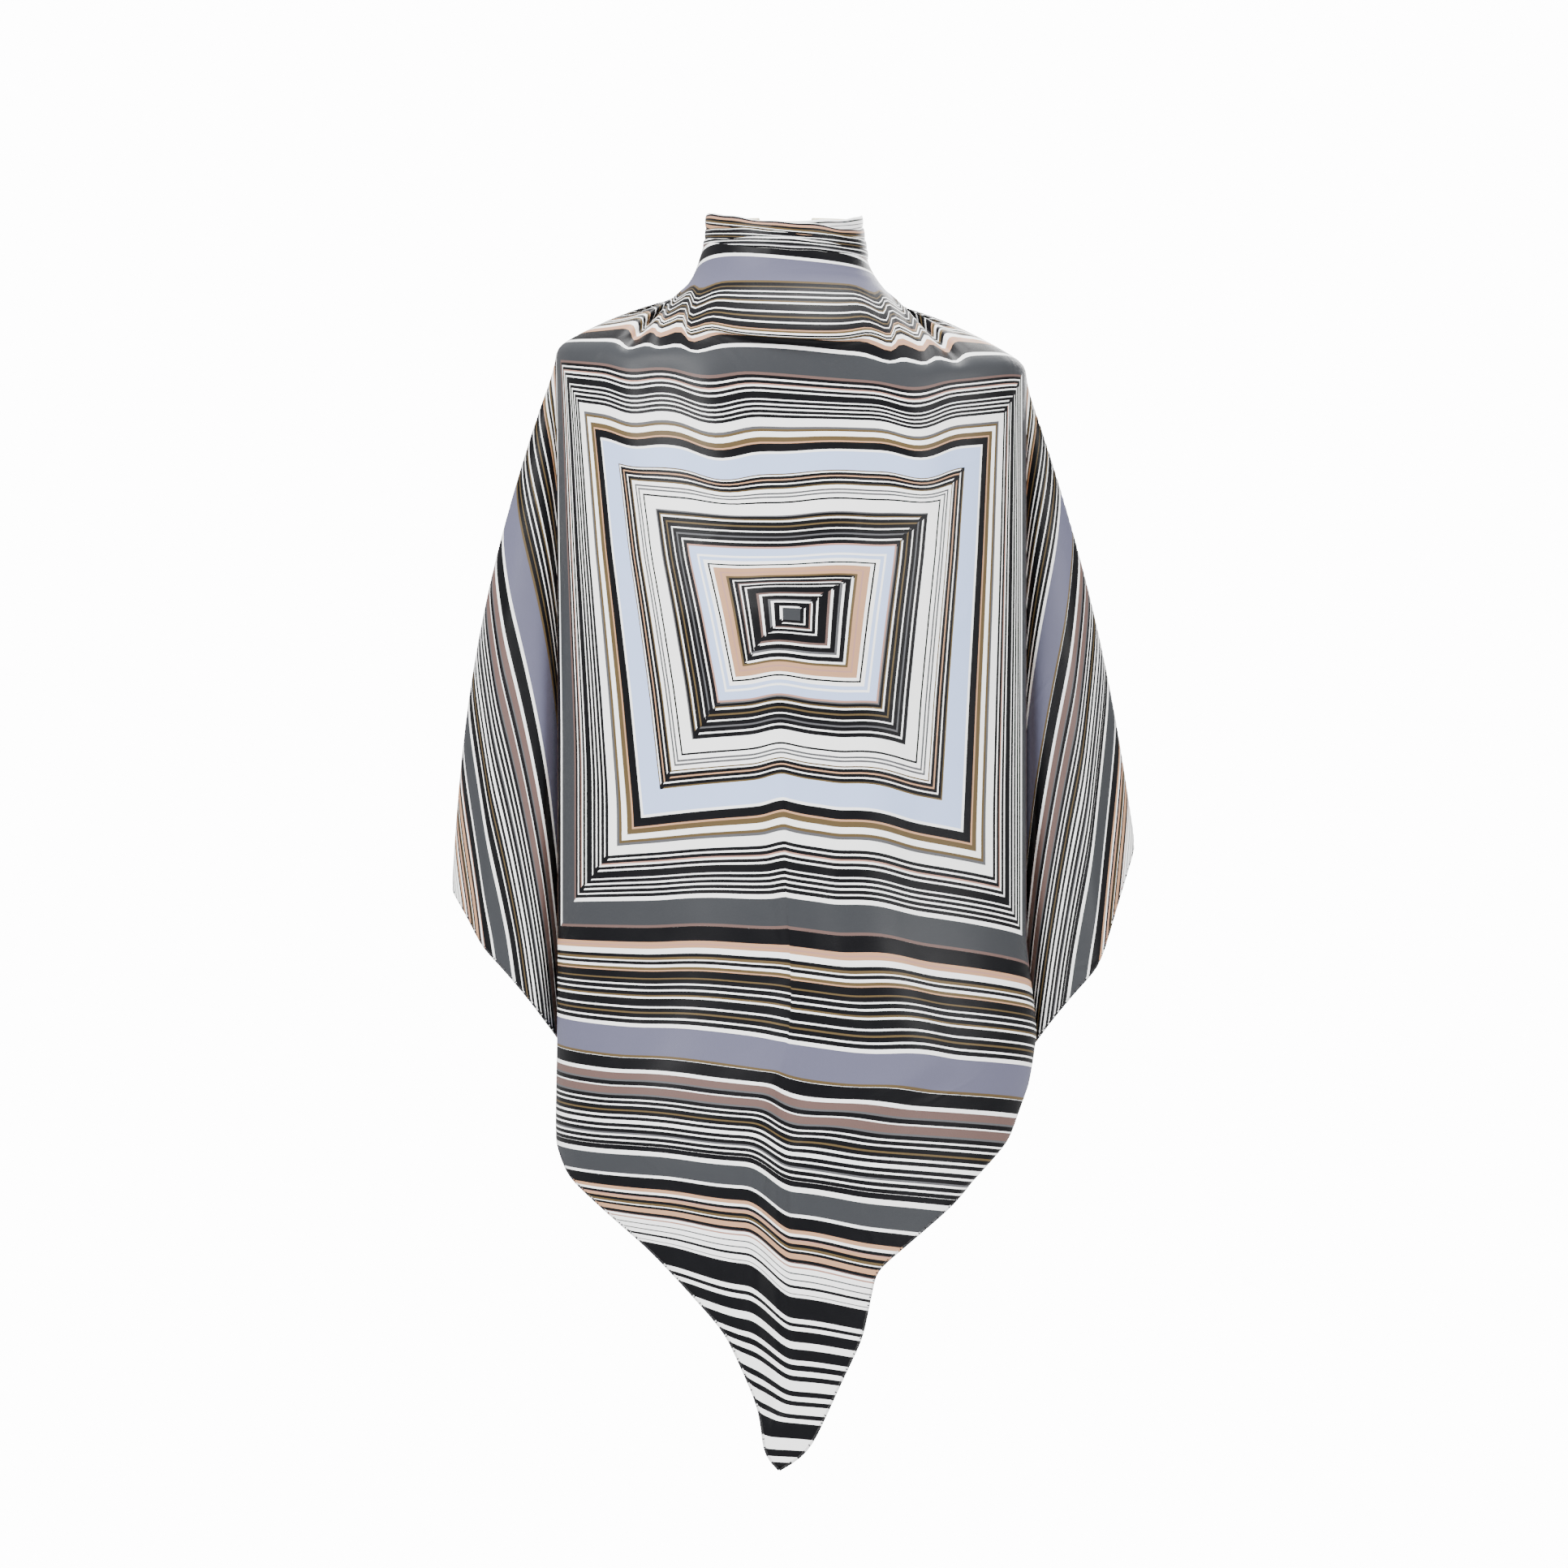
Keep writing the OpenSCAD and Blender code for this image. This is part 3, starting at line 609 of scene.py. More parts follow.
class Shader:
    """A material and its node tree."""

    def __init__(self, name, roughness, **constants):
        self.material = bpy.data.materials.new(name)
        self.material.use_nodes = True
        self.tree = self.material.node_tree
        self.surface = self.tree.nodes["Principled BSDF"]
        self.feed(self.surface.inputs["Roughness"], roughness)
        for key, value in constants.items():
            self.surface.inputs[key.replace("_", " ")].default_value = value

    def feed(self, socket, value):
        """Links a value or a socket to an input, or sets the input to a plain value."""
        if isinstance(value, Value):
            self.tree.links.new(value.socket, socket)
        elif isinstance(value, bpy.types.NodeSocket):
            self.tree.links.new(value, socket)
        else:
            socket.default_value = value

    def feed_colour(self, socket, colour):
        """Links a colour socket to an input, or sets the input to a plain red, green and blue."""
        self.feed(socket, colour if isinstance(colour, bpy.types.NodeSocket) else (*colour, 1))

    def node(self, kind, inputs=(), **settings):
        """A new node with those inputs, given by name or number, and those settings."""
        node = self.tree.nodes.new(kind)
        for key, value in settings.items():
            setattr(node, key, value)
        for key, value in dict(inputs).items():
            self.feed(node.inputs[key], value)
        return node

    def math(self, operation, *terms):
        node = self.node("ShaderNodeMath", dict(enumerate(terms)), operation=operation)
        return Value(self, node.outputs[0])

    def mix(self, share, one, other):
        """Colour one where share is 0 and the other where it is 1."""
        node = self.node("ShaderNodeMix", {0: share}, data_type="RGBA")
        for index, colour in ((6, one), (7, other)):
            self.feed_colour(node.inputs[index], colour)
        return node.outputs[2]

    def flat_place(self):
        """Flat cloth coordinates a and b, in millimetres, and the socket that carries both in metres."""
        uv = self.node("ShaderNodeUVMap", uv_map="flat").outputs[0]
        parts = self.node("ShaderNodeSeparateXYZ", {0: uv})
        return Value(self, parts.outputs[0]) / MM, Value(self, parts.outputs[1]) / MM, uv

    def noise(self, vector, scale, detail=3.0):
        node = self.node("ShaderNodeTexNoise", {"Vector": vector, "Scale": scale, "Detail": detail})
        return Value(self, node.outputs[0])

    def steps(self, place, stops):
        """A colour that changes at each (start, colour) stop of place, which runs in millimetres."""
        low, high = stops[0][0], stops[-1][0] + 1.0
        node = self.node("ShaderNodeValToRGB", {0: (place - low) / (high - low)})
        ramp = node.color_ramp
        ramp.interpolation = "CONSTANT"
        while len(ramp.elements) < len(stops):
            ramp.elements.new(1.0)
        for element, (start, colour) in zip(ramp.elements, stops):
            element.position = (start - low) / (high - low)
            element.color = (*colour, 1)
        return node.outputs[0]

    def bumps(self, *layers):
        """Feeds the surface's normal from (height, strength, distance) layers."""
        normal = None
        for height, strength, distance in layers:
            inputs = {"Height": height, "Strength": strength, "Distance": distance}
            if normal is not None:
                inputs["Normal"] = normal
            normal = self.node("ShaderNodeBump", inputs).outputs[0]
        self.feed(self.surface.inputs["Normal"], normal)

    def colour(self, colour):
        self.feed_colour(self.surface.inputs["Base Color"], colour)


# ---------------------------------------------------------------- the print

INKS = {
    "k": (0.002, 0.002, 0.003),             # black
    "w": (0.93, 0.93, 0.92),                # white
    "d": (0.034, 0.036, 0.040),             # dark grey
    "g": (0.08, 0.08, 0.085),               # grey
    "l": (0.102, 0.102, 0.150),             # lilac grey
    "s": (0.42, 0.53, 0.80),                # sky blue
    "b": (0.42, 0.235, 0.135),              # beige
    "p": (0.115, 0.072, 0.064),             # plum
    "r": (0.37, 0.205, 0.16),               # rose
    "o": (0.090, 0.062, 0.028),             # olive
}
# Rings of the print, from its middle out: the half width at which each group ends, in millimetres, and the
# inks of its stripes in order. A capital is a stripe of double width, and black is wider than the rest.
PRINT = (
    (6, "d"), (28, "wkwgkwpk"), (43, "kwkwpkwk"), (45, "o"), (54, "BrbB"), (56.5, "w"), (58, "k"),
    (73, "WSwSSr"), (93, "kwkgkwkokw"), (97, "okg"), (106, "WWw"), (107.5, "k"), (117, "WgwgW"),
    (129, "okwkbkwo"), (145, "SSSSSs"), (147, "w"), (153, "k"), (158, "bOo"), (162, "w"), (166, "og"),
    (173, "W"), (190, "kwkwkwkwk"), (193, "K"), (205, "wkwrkwk"), (207, "p"), (225, "d"),
    (228, "w"), (238, "k"), (262, "BrBWWkOwkWObk"), (298, "kwkokwKwokwkwkok"), (300, "o"),
    (322, "l"), (325, "w"), (335, "k"), (362, "WPPgkwPPgkw"), (400, "kwkwgkwkWkwkokwk"), (404, "k"),
    (408, "w"), (426, "d"), (429, "w"), (438, "k"), (475, "rWpkBBkwOkBrkWbBk"), (504, "WWgWWgWWkWWgWk"),
    (519, "k"), (528, "WkW"), (536, "k"), (541, "w"), (549, "k"), (600, "WkWkWWkWkWWkW"), (613, "k"),
    (622, "w"), (627, "k"), (631, "w"), (638, "k"),
)
# Groups whose stripes run the other way round in the lower right half, as (from, to).
THIN_GROUPS = ((6, 43), (73, 97), (117, 129), (173, 205), (205, 228), (262, 298), (298, 325), (362, 400),
               (438, 475))
RAMP_STOPS = 30                             # stripes that one colour ramp is given
FINE_INKS, FINE_BLACK, PLAIN_BLACK = 6, 2.1, 1.4        # how much wider, in groups of over six inks
TICKED_RING = 210                           # thin groups inside this ring have ticks on two corners


def print_stops():
    """Every stripe of the print as (start, colour)."""
    stops, low = [], 0.0
    for high, inks in PRINT:
        black = FINE_BLACK if len(inks) > FINE_INKS else PLAIN_BLACK
        widths = [(2.0 if ink.isupper() else 1.0) * (black if ink in "kK" else 1.0) for ink in inks]
        step = (high - low) / sum(widths)
        for ink, width in zip(inks, widths):
            stops.append((low, INKS[ink.lower()]))
            low += width * step
        low = float(high)
    return stops


def print_colour(shader, a, b):
    """The concentric square print. Its lower right half runs each thin group the other way round."""
    ring = abs(a).maximum(abs(b))
    other_half = a > b
    place, ticked = ring, 0.0
    for low, high in THIN_GROUPS:
        within = (ring > low) * (ring < high)
        place = place + within * other_half * (low + high - 2.0 * ring)
        if high < TICKED_RING:
            ticked = ticked + within
    stops = print_stops()
    colour = None
    for first in range(0, len(stops), RAMP_STOPS):
        part = stops[first:first + RAMP_STOPS]
        ramp = shader.steps(place, part)
        colour = ramp if colour is None else shader.mix(place > part[0][0], colour, ramp)
    tick_half_width, tick_pitch, tick_share = 2.4, 7.0, 0.55
    tick = (ring / tick_pitch).fraction() < tick_share
    on_corner = (abs(abs(a) - abs(b)) < tick_half_width) * (a * b > 0.0) * ticked * tick
    return shader.mix(on_corner, colour, INKS["k"])


def cloth_bumps(shader, a, b, uv):
    """Fine weave, slight waves and the faint creases left by folding."""
    weave = ((a + b) * 5.5).sine() * 0.5 + shader.noise(uv, 900.0, 2.0)
    waves = shader.noise(uv, 16.0, 2.0)
    cracks = shader.node("ShaderNodeTexVoronoi", {"Vector": uv, "Scale": 5.5}, feature="DISTANCE_TO_EDGE")
    creases = (1.0 - Value(shader, cracks.outputs[0]) * 45.0).maximum(0.0)
    shader.bumps((waves, 0.35, 0.004), (creases, 0.25, 0.0006), (weave, 0.12, 0.0002))


def satin(name, inside):
    """The printed cloth. Its inner side is rougher and a little paler."""
    roughness, fade = (0.50, 0.35) if inside else (0.34, 0.0)
    shader = Shader(name, roughness, Specular_IOR_Level=0.10)
    a, b, uv = shader.flat_place()
    colour = print_colour(shader, a, b)
    worn = shader.noise(uv, 60.0, 4.0) * 0.004 + fade
    shader.colour(shader.mix(worn, colour, (0.80, 0.79, 0.77)))
    shader.feed(shader.surface.inputs["Roughness"], shader.noise(uv, 40.0) * 0.12 + roughness)
    cloth_bumps(shader, a, b, uv)
    return shader.material


STITCH_PITCH = 6.0                          # from stitch to stitch, in millimetres
STITCH_SHARE = 0.14                         # how much of that is thread


def hemmed(name):
    """The print on a rolled hem, with short dark stitches along it."""
    shader = Shader(name, 0.5, Specular_IOR_Level=0.2)
    a, b, uv = shader.flat_place()
    run = Value(shader, shader.node("ShaderNodeAttribute", attribute_name="run").outputs["Fac"]) / MM
    stitch = (run / STITCH_PITCH).fraction() < STITCH_SHARE
    shade = shader.mix(0.25, print_colour(shader, a, b), (0.05, 0.05, 0.05))
    shader.colour(shader.mix(stitch, shade, INKS["k"]))
    pinch = (run * (2 * math.pi / STITCH_PITCH)).sine()
    shader.bumps((pinch, 0.5, 0.0006), (shader.noise(uv, 700.0), 0.2, 0.0003))
    return shader.material


def woven(name, colour, roughness, threads):
    """A plain cotton or ribbon weave."""
    shader = Shader(name, roughness, Sheen_Weight=0.2)
    a, b, uv = shader.flat_place()
    weft = (a * threads).sine() * (b * threads).sine()
    mottle = shader.noise(uv, 120.0, 4.0)
    shader.colour(shader.mix(mottle * 0.35, colour, tuple(0.72 * c for c in colour)))
    shader.bumps((weft, 0.35, 0.0003), (mottle, 0.2, 0.0006))
    return shader.material


def metal(name, colour, roughness, metallic, coat):
    """Worn metal, or enamel where metallic is 0."""
    shader = Shader(name, roughness, Metallic=metallic, Coat_Weight=coat, Coat_Roughness=0.1)
    place = shader.node("ShaderNodeTexCoord").outputs["Object"]
    wear = shader.noise(place, 260.0, 4.0)
    shader.colour(shader.mix(wear * 0.4, colour, tuple(0.7 * c for c in colour)))
    shader.feed(shader.surface.inputs["Roughness"], wear * 0.2 + (roughness - 0.1))
    shader.bumps((wear, 0.1, 0.0002),)
    return shader.material


def finish_of(name):
    """The named material, made on first use."""
    made = bpy.data.materials.get(name)
    if made is not None:
        return made
    makers = {
        "Printed satin": lambda: satin(name, False),
        "Satin inside": lambda: satin(name, True),
        "Rolled hem": lambda: hemmed(name),
        "Collar lining": lambda: woven(name, (0.80, 0.74, 0.55), 0.75, 5.0),
        "Label ribbon": lambda: woven(name, (0.84, 0.83, 0.80), 0.45, 9.0),
        "Snap metal": lambda: metal(name, (0.62, 0.61, 0.59), 0.3, 1.0, 0.0),
        "Cap enamel": lambda: metal(name, (0.022, 0.022, 0.025), 0.35, 0.0, 0.6),
        "Studio floor": lambda: woven(name, (0.86, 0.86, 0.86), 0.9, 0.05),
    }
    return makers[name]()


def dress(obj, slot, *finishes):
    """Gives a piece its materials; the slot is not used."""
    obj.data.materials.clear()
    for finish in finishes:
        obj.data.materials.append(finish_of(finish))


# ---------------------------------------------------------------- the pieces

SIDES = {-1: "left", 1: "right"}
TUCK_END = 2.22                             # the tucks end this far round from the front
WRAP_END = 2.2                              # the wound collar stops this far round, clear of the nape tab
CLOTHS = {}


def rim_z(turn):
    """Height of the neck band's rim round the neck."""
    throat, nape = 6.0, BAND_HIGH[2]
    return throat + (nape - throat) * 0.5 * (1 - np.cos(turn))


def cloth_of(settings):
    """The draped cloth for these settings, worked out once."""
    key = (round(settings.side, 4), settings.cells, settings.rounding)
    if key not in CLOTHS:
        CLOTHS[key] = Cloth(settings.side / MM, settings.cells, settings.rounding)
    return CLOTHS[key]


def regions(cloth):
    """Which part of the flat square each sheet is, as tests of flat coordinates."""
    drape = cloth.drape
    fold, shoulder = drape.fold_a, drape.shoulder_b
    near = 1e-6

    def turn(a, b):
        return drape.flat_polar(np.where(a < 0, -1, 1), a, b)[0]

    def middle(a, b):
        return np.abs(a) < fold + near

    def above(a, b):
        return b - drape.neck_line(a)

    parts = {
        "front": lambda a, b: middle(a, b) & (b < shoulder + near),
        "collar": lambda a, b: (above(a, b) > 0) & (above(a, b) < drape.wrap_h)
        & (np.abs(drape.neck_turn(a)) < WRAP_END),
        "yoke": lambda a, b: np.where(middle(a, b), (b > shoulder - near) & (above(a, b) < 0),
                                      turn(a, b) > drape.back_turn),
    }
    for s, side in SIDES.items():
        parts[side + "_pleat"] = lambda a, b, s=s: (s * a > fold - near) & (turn(a, b) < drape.pleat_turn)
        parts[side + "_wing"] = lambda a, b, s=s: ((s * a > fold - near) & (turn(a, b) >= drape.pleat_turn)
                                                  & (turn(a, b) <= drape.back_turn))
    return parts


def follow(obj, part):
    """Bakes the place of a front, wing or pleat piece or its hem into its mesh, and hangs any other on the
    root body.
    """
    if part == "front":
        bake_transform(obj)
    elif part.endswith("wing"):
        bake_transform(obj)
    elif part.endswith("pleat"):
        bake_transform(obj)
    else:
        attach(obj, "root")


REPLACED = {
    "front": ("front_panel", "lower_point"), "collar": ("lower_tuck",),
    "yoke": ("yoke_front", "cowl_fold", "yoke_back_left", "yoke_back_right"),
    "left_pleat": ("left_pleat",), "right_pleat": ("right_pleat",),
    "left_wing": ("left_wing_front", "left_wing_back"), "right_wing": ("right_wing_front", "right_wing_back"),
}
HEMS = {                                    # part: (edge of the square, CAD hems it stands for)
    "left_wing": (((-1, -1), ("left_wing_hem",)), ((-1, 1), ("left_back_hem",))),
    "right_wing": (((1, -1), ("right_wing_hem",)), ((1, 1), ("right_back_hem",))),
    "left_pleat": (((-1, -1), ()),), "right_pleat": (((1, -1), ()),),
    "front": (((-1, -1), ("panel_hem_left", "point_hem_left")),
              ((1, -1), ("panel_hem_right", "point_hem_right"))),
    "yoke": (((-1, 1), ("yoke_hem_left",)), ((1, 1), ("yoke_hem_right",))),
}


def cloth_name(part):
    return part + "_cloth"


def build_cloth(settings):
    """Every sheet of the draped square."""
    cloth = cloth_of(settings)
    for part, chosen in regions(cloth).items():
        obj, flat = cloth.build(cloth_name(part), chosen)
        dress(obj, "printed_satin", "Printed satin", "Satin inside")
        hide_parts(*REPLACED[part])
        follow(obj, part)
        obj["flat_size"] = [float(x) * MM for x in np.ptp(flat, axis=0)]


def build_hems(settings):
    """The rolled hem round the square, piece by piece."""
    cloth = cloth_of(settings)
    points, normals = cloth.points.reshape(-1, 3), cloth.normals.reshape(-1, 3)
    flat = np.stack([cloth.a.ravel(), cloth.b.ravel()], -1)
    parts = regions(cloth)
    for part, edges in HEMS.items():
        for (sx, sy), nodes in edges:
            path = cloth.hem_path(sx, sy, parts[part])
            if len(path) < 3:
                raise ValueError(f"no hem along {part}")
            name = f"{part}_hem_{SIDES[sx]}_{'back' if sy > 0 else 'front'}"
            line = points[path] - cloth.half_thick * normals[path]
            obj = tube(name, line, flat[path], settings.hem_radius / MM)
            dress(obj, "hem_thread", "Rolled hem")
            if nodes:
                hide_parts(*nodes)
            follow(obj, part)


FLAT_PER_HALF = 2.4                         # flat width of a tuck for each millimetre of its half height


def roll(name, z_keys, stand_off, half_high, half_thick, b_low, b_high):
    """One tuck wound round the neck: a soft flat roll whose height follows (turn, z) keys."""
    turn = np.linspace(-TUCK_END, TUCK_END, 150)
    around = np.linspace(0, 2 * math.pi, 21)[:-1]
    z = keyed(turn, *z_keys)
    reach = 8
    z = np.convolve(np.pad(z, reach, mode="edge"), np.ones(2 * reach + 1) / (2 * reach + 1), mode="valid")
    taper = 0.25
    end = np.minimum((turn + TUCK_END) / taper, (TUCK_END - turn) / taper).clip(0, 1) ** 0.5
    pinch = 1 + 0.10 * np.sin(turn * 5.1 + b_low) + 0.06 * np.sin(turn * 11.7 + b_high)
    high = half_high * pinch * (0.55 + 0.45 * end)
    thick = half_thick * (0.25 + 0.75 * end)
    r = BAND_R + stand_off + 0.5 * np.sin(turn * 3.3 + b_low)
    r = r - half_thick * (1 - end) * 0.6
    out = np.cos(around)
    up = np.sin(around)
    radius = r[:, None] + thick[:, None] * np.sign(out) * np.abs(out) ** 0.8
    height = z[:, None] + high[:, None] * np.sign(up) * np.abs(up) ** 0.9
    points = round_neck(radius, turn[:, None], height)
    rows, columns = points.shape[:2]
    faces = [[k * columns + m, (k + 1) * columns + m, (k + 1) * columns + (m + 1) % columns,
              k * columns + (m + 1) % columns] for k in range(rows - 1) for m in range(columns)]
    faces.append(list(range(columns)))
    faces.append([(rows - 1) * columns + m for m in range(columns - 1, -1, -1)])
    share = 0.5 + 0.5 * np.where(out > 0, up, np.sign(up) * (2 - np.abs(up)) * 0.5)
    flat = np.stack(np.broadcast_arrays(turn[:, None] * BAND_R, b_low + (b_high - b_low) * share), -1)
    obj = new_mesh(name, points.reshape(-1, 3), faces, flat.reshape(-1, 2), [0] * len(faces))
    length, width = 2 * TUCK_END * (BAND_R + stand_off), FLAT_PER_HALF * half_high
    obj["flat_size"] = [float(length) * MM, float(width) * MM]
    return obj


def build_tucks(settings):
    """The slanting tucks wound above the collar's foot."""
    full = settings.tuck_fullness
    tucks = (
        ("rim_tuck", ((-2.3, 20), (-1.57, 15), (-0.8, 6), (0, 3), (0.8, 8), (1.57, 16), (2.3, 20)),
         1.6, 4.4, 1.5, 478, 498),
        ("beige_tuck", ((-2.3, 21), (-1.57, 16), (-0.8, 8), (0, 1), (0.8, -1), (1.57, 4), (2.3, 9)),
         2.6, 6.6, 1.9, 440, 468),
        ("lined_tuck", ((-2.3, 10), (-1.57, 6), (-0.8, 1), (0, -3.5), (0.8, -5), (1.57, -3), (2.3, 0)),
         3.6, 5.0, 1.9, 262, 284),
        ("narrow_tuck", ((-2.3, 0), (-1.57, -2), (-0.8, -4.5), (0, -8), (0.8, -10), (1.57, -9), (2.3, -7)),
         4.4, 4.3, 1.9, 366, 384),
    )
    for name, z_keys, stand_off, half_high, half_thick, b_low, b_high in tucks:
        obj = roll(name, z_keys, stand_off, half_high * full, half_thick * full, b_low, b_high)
        dress(obj, "printed_satin", "Printed satin")
        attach(obj, "root")
    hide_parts("upper_tuck")


def band_shell(name, turn, r_in, r_out, low, high, b_low, rows=9):
    """A band round the neck between two heights, each a number or one value per angle."""
    share = np.linspace(0, 1, rows)[None, :]
    z = low + (np.reshape(high, (-1, 1)) - low) * share + 0 * turn[:, None]
    outer = round_neck(r_out, turn[:, None], z)
    inner = round_neck(r_in, turn[:, None], z)
    flat = np.stack(np.broadcast_arrays(turn[:, None] * r_out, b_low + z - low), -1)
    return grid_shell(name, outer, inner, flat)


def build_band(settings):
    """The neck band, its underlap and the corded edge along the rim."""
    r_in = BAND_R - 2.6
    turn = np.radians(np.linspace(-158, 158, 120))
    band = band_shell("band_lining", turn, r_in, BAND_R, NECK_Z, rim_z(turn) - 0.6, 0)
    dress(band, "collar_lining", "Collar lining", "Collar lining")
    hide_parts("neck_band")
    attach(band, "root")
    lap_turn = np.radians(np.linspace(158.5, 202, 24))
    lap = band_shell("underlap_lining", lap_turn, r_in, BAND_R, NECK_Z + 4, rim_z(lap_turn) - 3.6, 0)
    dress(lap, "collar_lining", "Collar lining", "Collar lining")
    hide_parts("nape_underlap")
    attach(lap, "root")
    line = round_neck(BAND_R - 1.3, turn, rim_z(turn) - 0.8)
    cord = tube("band_edge", line, np.stack([turn * BAND_R, 0 * turn], -1), 1.5, 10)
    dress(cord, "collar_lining", "Collar lining")
    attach(cord, "root")


TAB_RING = 442                              # ring of the print that the tab's lower edge is cut from


def build_closure(settings):
    """The nape tab, its bound edge, and the finish of the press studs."""
    low, high = box_mm("nape_tab")
    r_in = BAND_R + 3.1
    turn = np.radians(np.linspace(134.3, 205.7, 48))
    tab = band_shell("tab_cloth", turn, r_in, r_in + 1.4, low[2] + 0.6, np.full(len(turn), high[2] - 0.6),
                     TAB_RING, 15)
    dress(tab, "printed_satin", "Printed satin", "Satin inside")
    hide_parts("nape_tab")
    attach(tab, "closure_tab")
    mid_r = r_in + 0.8
    top, foot = high[2] - 0.2, low[2] + 0.2
    bend = np.radians(np.linspace(135.5, 204, 40))
    corner = np.radians(205.6)
    end = round_neck(mid_r, corner, np.linspace(top - 2, foot + 2, 10))
    line = np.concatenate([round_neck(mid_r, bend, top), end, round_neck(mid_r, bend[::-1], foot)])
    flat = np.stack([np.arctan2(line[:, 0], -line[:, 1]) * mid_r, TAB_RING + line[:, 2] - foot], -1)
    edge = tube("tab_edge", line, flat, 1.2, 10)
    dress(edge, "hem_thread", "Rolled hem")
    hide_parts("tab_hem")
    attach(edge, "closure_tab")
    finishes = {"snap_studs": ("snap_metal", "Snap metal"), "snap_stud_backs": ("snap_metal", "Snap metal"),
                "snap_sockets": ("snap_metal", "Snap metal"), "snap_caps": ("cap_enamel", "Cap enamel")}
    for node, (slot, finish) in finishes.items():
        dress(frame["nodes"][node], slot, finish)


def build_label(settings):
    """The blank care label, sewn inside the left back of the yoke and following its cloth."""
    cloth = cloth_of(settings)
    cell = cloth.drape.cell
    low, high = box_mm("care_label")
    middle = 0.5 * (low + high)
    turn = cloth.drape.flat_polar(-1, cloth.a, cloth.b)[0]
    back = cloth.inside & (turn > cloth.drape.back_turn) & (cloth.i < 0)
    reach = np.where(back, np.linalg.norm(cloth.points - middle, axis=-1), 1e9)
    row, column = np.unravel_index(np.argmin(reach), reach.shape)
    width, length = 30.0, 18.0
    u, v = np.meshgrid(np.linspace(0, width, 24), np.linspace(0, length, 16), indexing="ij")
    x = row + (u - width / 2) / cell
    y = column - (v - length / 2) / cell
    i0, j0 = np.floor(x).astype(int), np.floor(y).astype(int)
    fx, fy = (x - i0)[..., None], (y - j0)[..., None]

    def sample(field):
        return ((field[i0, j0] * (1 - fx) + field[i0 + 1, j0] * fx) * (1 - fy)
                + (field[i0, j0 + 1] * (1 - fx) + field[i0 + 1, j0 + 1] * fx) * fy)

    normal = sample(cloth.normals)
    off = (0.9 + 1.6 * (v / length) ** 2)[..., None]
    place = sample(cloth.points)
    flat = np.stack([u, v], -1)
    label = grid_shell("label_ribbon", place - normal * (off + 0.5), place - normal * off, flat)
    dress(label, "label_ribbon", "Label ribbon", "Label ribbon")
    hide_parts("care_label")
    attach(label, "root")
    cloth_name("yoke")


def resting_place(part):
    """Name of the sheet that a sheet of the square lies against."""
    if part == "collar":
        return "band_lining"
    if part == "yoke":
        return cloth_name("collar")
    return cloth_name("front" if part.endswith("pleat") else "yoke")


def declare_sheets(settings):
    """Looks up every sheet of cloth and the name of the sheet that it lies against, and does nothing more
    with them.
    """
    for part in REPLACED:
        obj = bpy.data.objects[cloth_name(part)]
        resting_place(part)


# ---------------------------------------------------------------- stage

def build_floor(height):
    """A round floor of shallow rings, at that height in metres."""
    turn = np.linspace(0, 2 * math.pi, 97)[:-1]
    rings = np.array([0.02, 0.4, 0.9, 1.3, 1.6]) / MM
    points = np.stack(np.broadcast_arrays(rings[:, None] * np.cos(turn), rings[:, None] * np.sin(turn),
                                          height / MM + 0 * rings[:, None]), -1)
    count = len(turn)
    faces = [[k * count + m, (k + 1) * count + m, (k + 1) * count + (m + 1) % count,
              k * count + (m + 1) % count] for k in range(len(rings) - 1) for m in range(count)]
    faces.append(list(range(count)))
    flat = points[..., :2].reshape(-1, 2)
    floor = new_mesh("studio_floor", points.reshape(-1, 3), faces, flat, [0] * len(faces))
    floor.data.materials.append(finish_of("Studio floor"))


def build_world(scene, light, seen_light):
    """A white world that the camera sees brighter than the cape is lit by it."""
    world = bpy.data.worlds.new("Studio")
    world.use_nodes = True
    background = world.node_tree.nodes["Background"]
    background.inputs[0].default_value = (1.0, 1.0, 1.0, 1)
    seen = world.node_tree.nodes.new("ShaderNodeLightPath")
    strength = world.node_tree.nodes.new("ShaderNodeMix")
    strength.inputs[2].default_value, strength.inputs[3].default_value = light, seen_light
    world.node_tree.links.new(seen.outputs["Is Camera Ray"], strength.inputs[0])
    world.node_tree.links.new(strength.outputs[0], background.inputs[1])
    scene.world = world


def build_lamps(scene, light_power):
    """Four soft lamps aimed at the cape's upper half."""
    aim = bpy.data.objects.new("Aim", None)
    aim.location = (0, 0, -0.35)
    scene.collection.objects.link(aim)
    for name, place, size, power in (("Key", (-1.7, -1.9, 1.0), 1.4, 40), ("Fill", (2.1, -1.6, 0.2), 1.6, 20),
                                     ("Top", (0.2, 0.6, 1.8), 1.4, 26), ("Back", (0.6, 2.4, 0.6), 1.8, 26)):
        data = bpy.data.lights.new(name, "AREA")
        data.size, data.energy = size, power * light_power
        lamp = bpy.data.objects.new(name, data)
        lamp.location = place
        scene.collection.objects.link(lamp)
        look = lamp.constraints.new("TRACK_TO")
        look.target = aim


CAMERA_X, CAMERA_Z = -0.0012, -0.3996       # the camera looks level at the middle of the view
SEEN_WORLD = 14.0                           # strength of the world where the camera sees it


def build_stage(settings):
    """Floor, soft lights, pale world and the camera."""
    scene = bpy.context.scene
    build_floor(settings.floor_height)
    build_world(scene, settings.world_light, SEEN_WORLD)
    build_lamps(scene, settings.light_power)
    data = bpy.data.cameras.new("Camera")
    data.lens, data.sensor_width = 93.2, 36.0
    camera = bpy.data.objects.new("Camera", data)
    camera.location = (CAMERA_X, -settings.camera_distance, CAMERA_Z)
    camera.rotation_euler = (math.pi / 2, 0, 0)
    scene.collection.objects.link(camera)
    scene.camera = camera


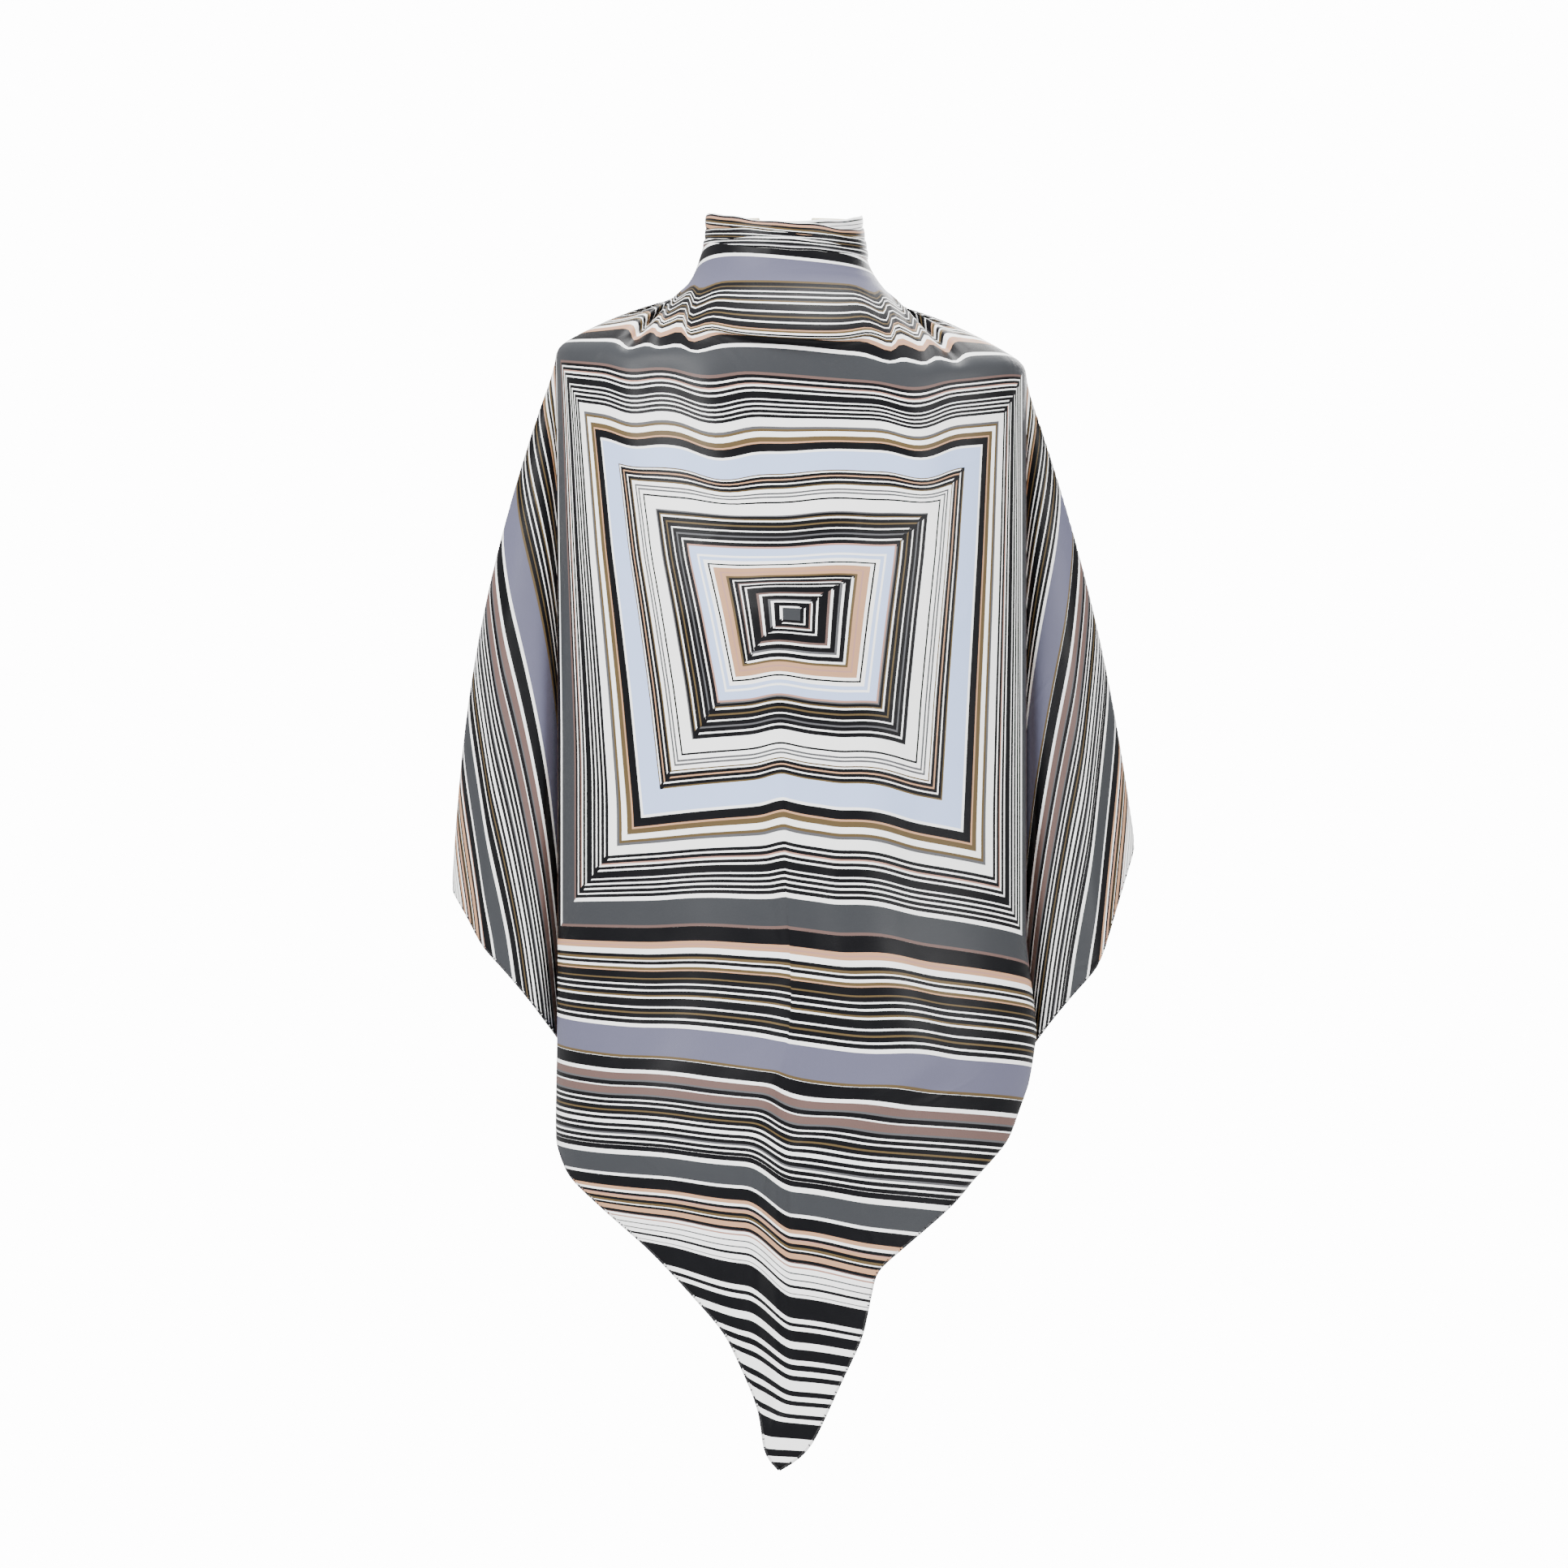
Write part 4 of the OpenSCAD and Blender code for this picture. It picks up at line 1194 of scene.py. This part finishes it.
# ---------------------------------------------------------------- add-on

class CapeSettings(bpy.types.PropertyGroup):
    """Sizes of the cape's cloth and trims."""
    side: bpy.props.FloatProperty(name="Side", description="Side of the flat square of cloth", default=0.9,
                                  min=0.6, max=1.2, subtype="DISTANCE", unit="LENGTH")
    cells: bpy.props.IntProperty(name="Cells", description="Grid cells from the cloth's middle to a corner",
                                 default=128, min=48, max=200)
    rounding: bpy.props.IntProperty(name="Rounding", description="Times the folds are softened", default=4,
                                    min=0, max=12)
    hem_radius: bpy.props.FloatProperty(name="Hem radius", description="Radius of the rolled hem",
                                        default=0.0011, min=0.0006, max=0.002, precision=4,
                                        subtype="DISTANCE", unit="LENGTH")
    tuck_fullness: bpy.props.FloatProperty(name="Tuck fullness", description="Size of the wound tucks",
                                           default=1.0, min=0.7, max=1.15, subtype="FACTOR", unit="NONE")


class CapeStageSettings(bpy.types.PropertyGroup):
    """Camera, light and floor of the studio."""
    camera_distance: bpy.props.FloatProperty(name="Camera distance", description="From camera to neck",
                                             default=3.0, min=1.5, max=8, subtype="DISTANCE", unit="LENGTH")
    light_power: bpy.props.FloatProperty(name="Light power", description="Scales every lamp", default=4.4,
                                         min=0.1, max=8, subtype="FACTOR", unit="NONE")
    world_light: bpy.props.FloatProperty(name="World light", description="Strength of the surrounding white",
                                         default=0.72, min=0, max=3, subtype="FACTOR", unit="NONE")
    floor_height: bpy.props.FloatProperty(name="Floor height", description="Height of the studio floor",
                                          default=-1.35, min=-3, max=-1, subtype="DISTANCE", unit="LENGTH")


class CapeStep(bpy.types.Operator):
    """Shared by the cape's operators: runs build() on its settings."""
    bl_options = {"REGISTER", "UNDO"}
    settings_name = "cape"

    def execute(self, context):
        type(self).build(getattr(context.scene, self.settings_name))
        return {"FINISHED"}


class CAPE_OT_cloth(CapeStep):
    """Drape the printed square and cut it into its sheets"""
    bl_idname, bl_label = "cape.cloth", "Drape the cloth"
    build = staticmethod(build_cloth)


class CAPE_OT_hems(CapeStep):
    """Roll the hem round the square"""
    bl_idname, bl_label = "cape.hems", "Roll the hems"
    build = staticmethod(build_hems)


class CAPE_OT_tucks(CapeStep):
    """Wind the slanting tucks round the neck"""
    bl_idname, bl_label = "cape.tucks", "Wind the tucks"
    build = staticmethod(build_tucks)


class CAPE_OT_band(CapeStep):
    """Line the collar with its neck band and underlap"""
    bl_idname, bl_label = "cape.band", "Line the collar"
    build = staticmethod(build_band)


class CAPE_OT_closure(CapeStep):
    """Make the nape tab and finish its press studs"""
    bl_idname, bl_label = "cape.closure", "Close the nape"
    build = staticmethod(build_closure)


class CAPE_OT_label(CapeStep):
    """Sew in the blank care label"""
    bl_idname, bl_label = "cape.label", "Sew in the label"
    build = staticmethod(build_label)


class CAPE_OT_sheets(CapeStep):
    """Look up each sheet of cloth and the sheet that it lies against"""
    bl_idname, bl_label = "cape.sheets", "State the sheets"
    build = staticmethod(declare_sheets)


class CAPE_OT_stage(CapeStep):
    """Set up the floor, lights and camera"""
    bl_idname, bl_label = "cape.stage", "Set the stage"
    settings_name = "cape_stage"
    build = staticmethod(build_stage)


STEPS = (CAPE_OT_cloth, CAPE_OT_hems, CAPE_OT_tucks, CAPE_OT_band, CAPE_OT_closure, CAPE_OT_label,
         CAPE_OT_sheets, CAPE_OT_stage)


class CAPE_PT_panel(bpy.types.Panel):
    """The cape's settings and steps"""
    bl_label, bl_idname = "Barber cape", "CAPE_PT_panel"
    bl_space_type, bl_region_type, bl_category = "VIEW_3D", "UI", "Cape"

    def draw(self, context):
        for group in (context.scene.cape, context.scene.cape_stage):
            column = self.layout.column()
            for key in group.__annotations__:
                column.prop(group, key)
        for step in STEPS:
            self.layout.operator(step.bl_idname)


CLASSES = (CapeSettings, CapeStageSettings, *STEPS, CAPE_PT_panel)


def register():
    for cls in CLASSES:
        bpy.utils.register_class(cls)
    bpy.types.Scene.cape = bpy.props.PointerProperty(type=CapeSettings)
    bpy.types.Scene.cape_stage = bpy.props.PointerProperty(type=CapeStageSettings)


def unregister():
    del bpy.types.Scene.cape_stage
    del bpy.types.Scene.cape
    for cls in reversed(CLASSES):
        bpy.utils.unregister_class(cls)


def main():
    register()
    for step in STEPS:
        if getattr(bpy.ops.cape, step.bl_idname.split(".")[1])() != {"FINISHED"}:
            raise RuntimeError(f"{step.bl_idname} did not finish")


if __name__ == "__main__":
    main()
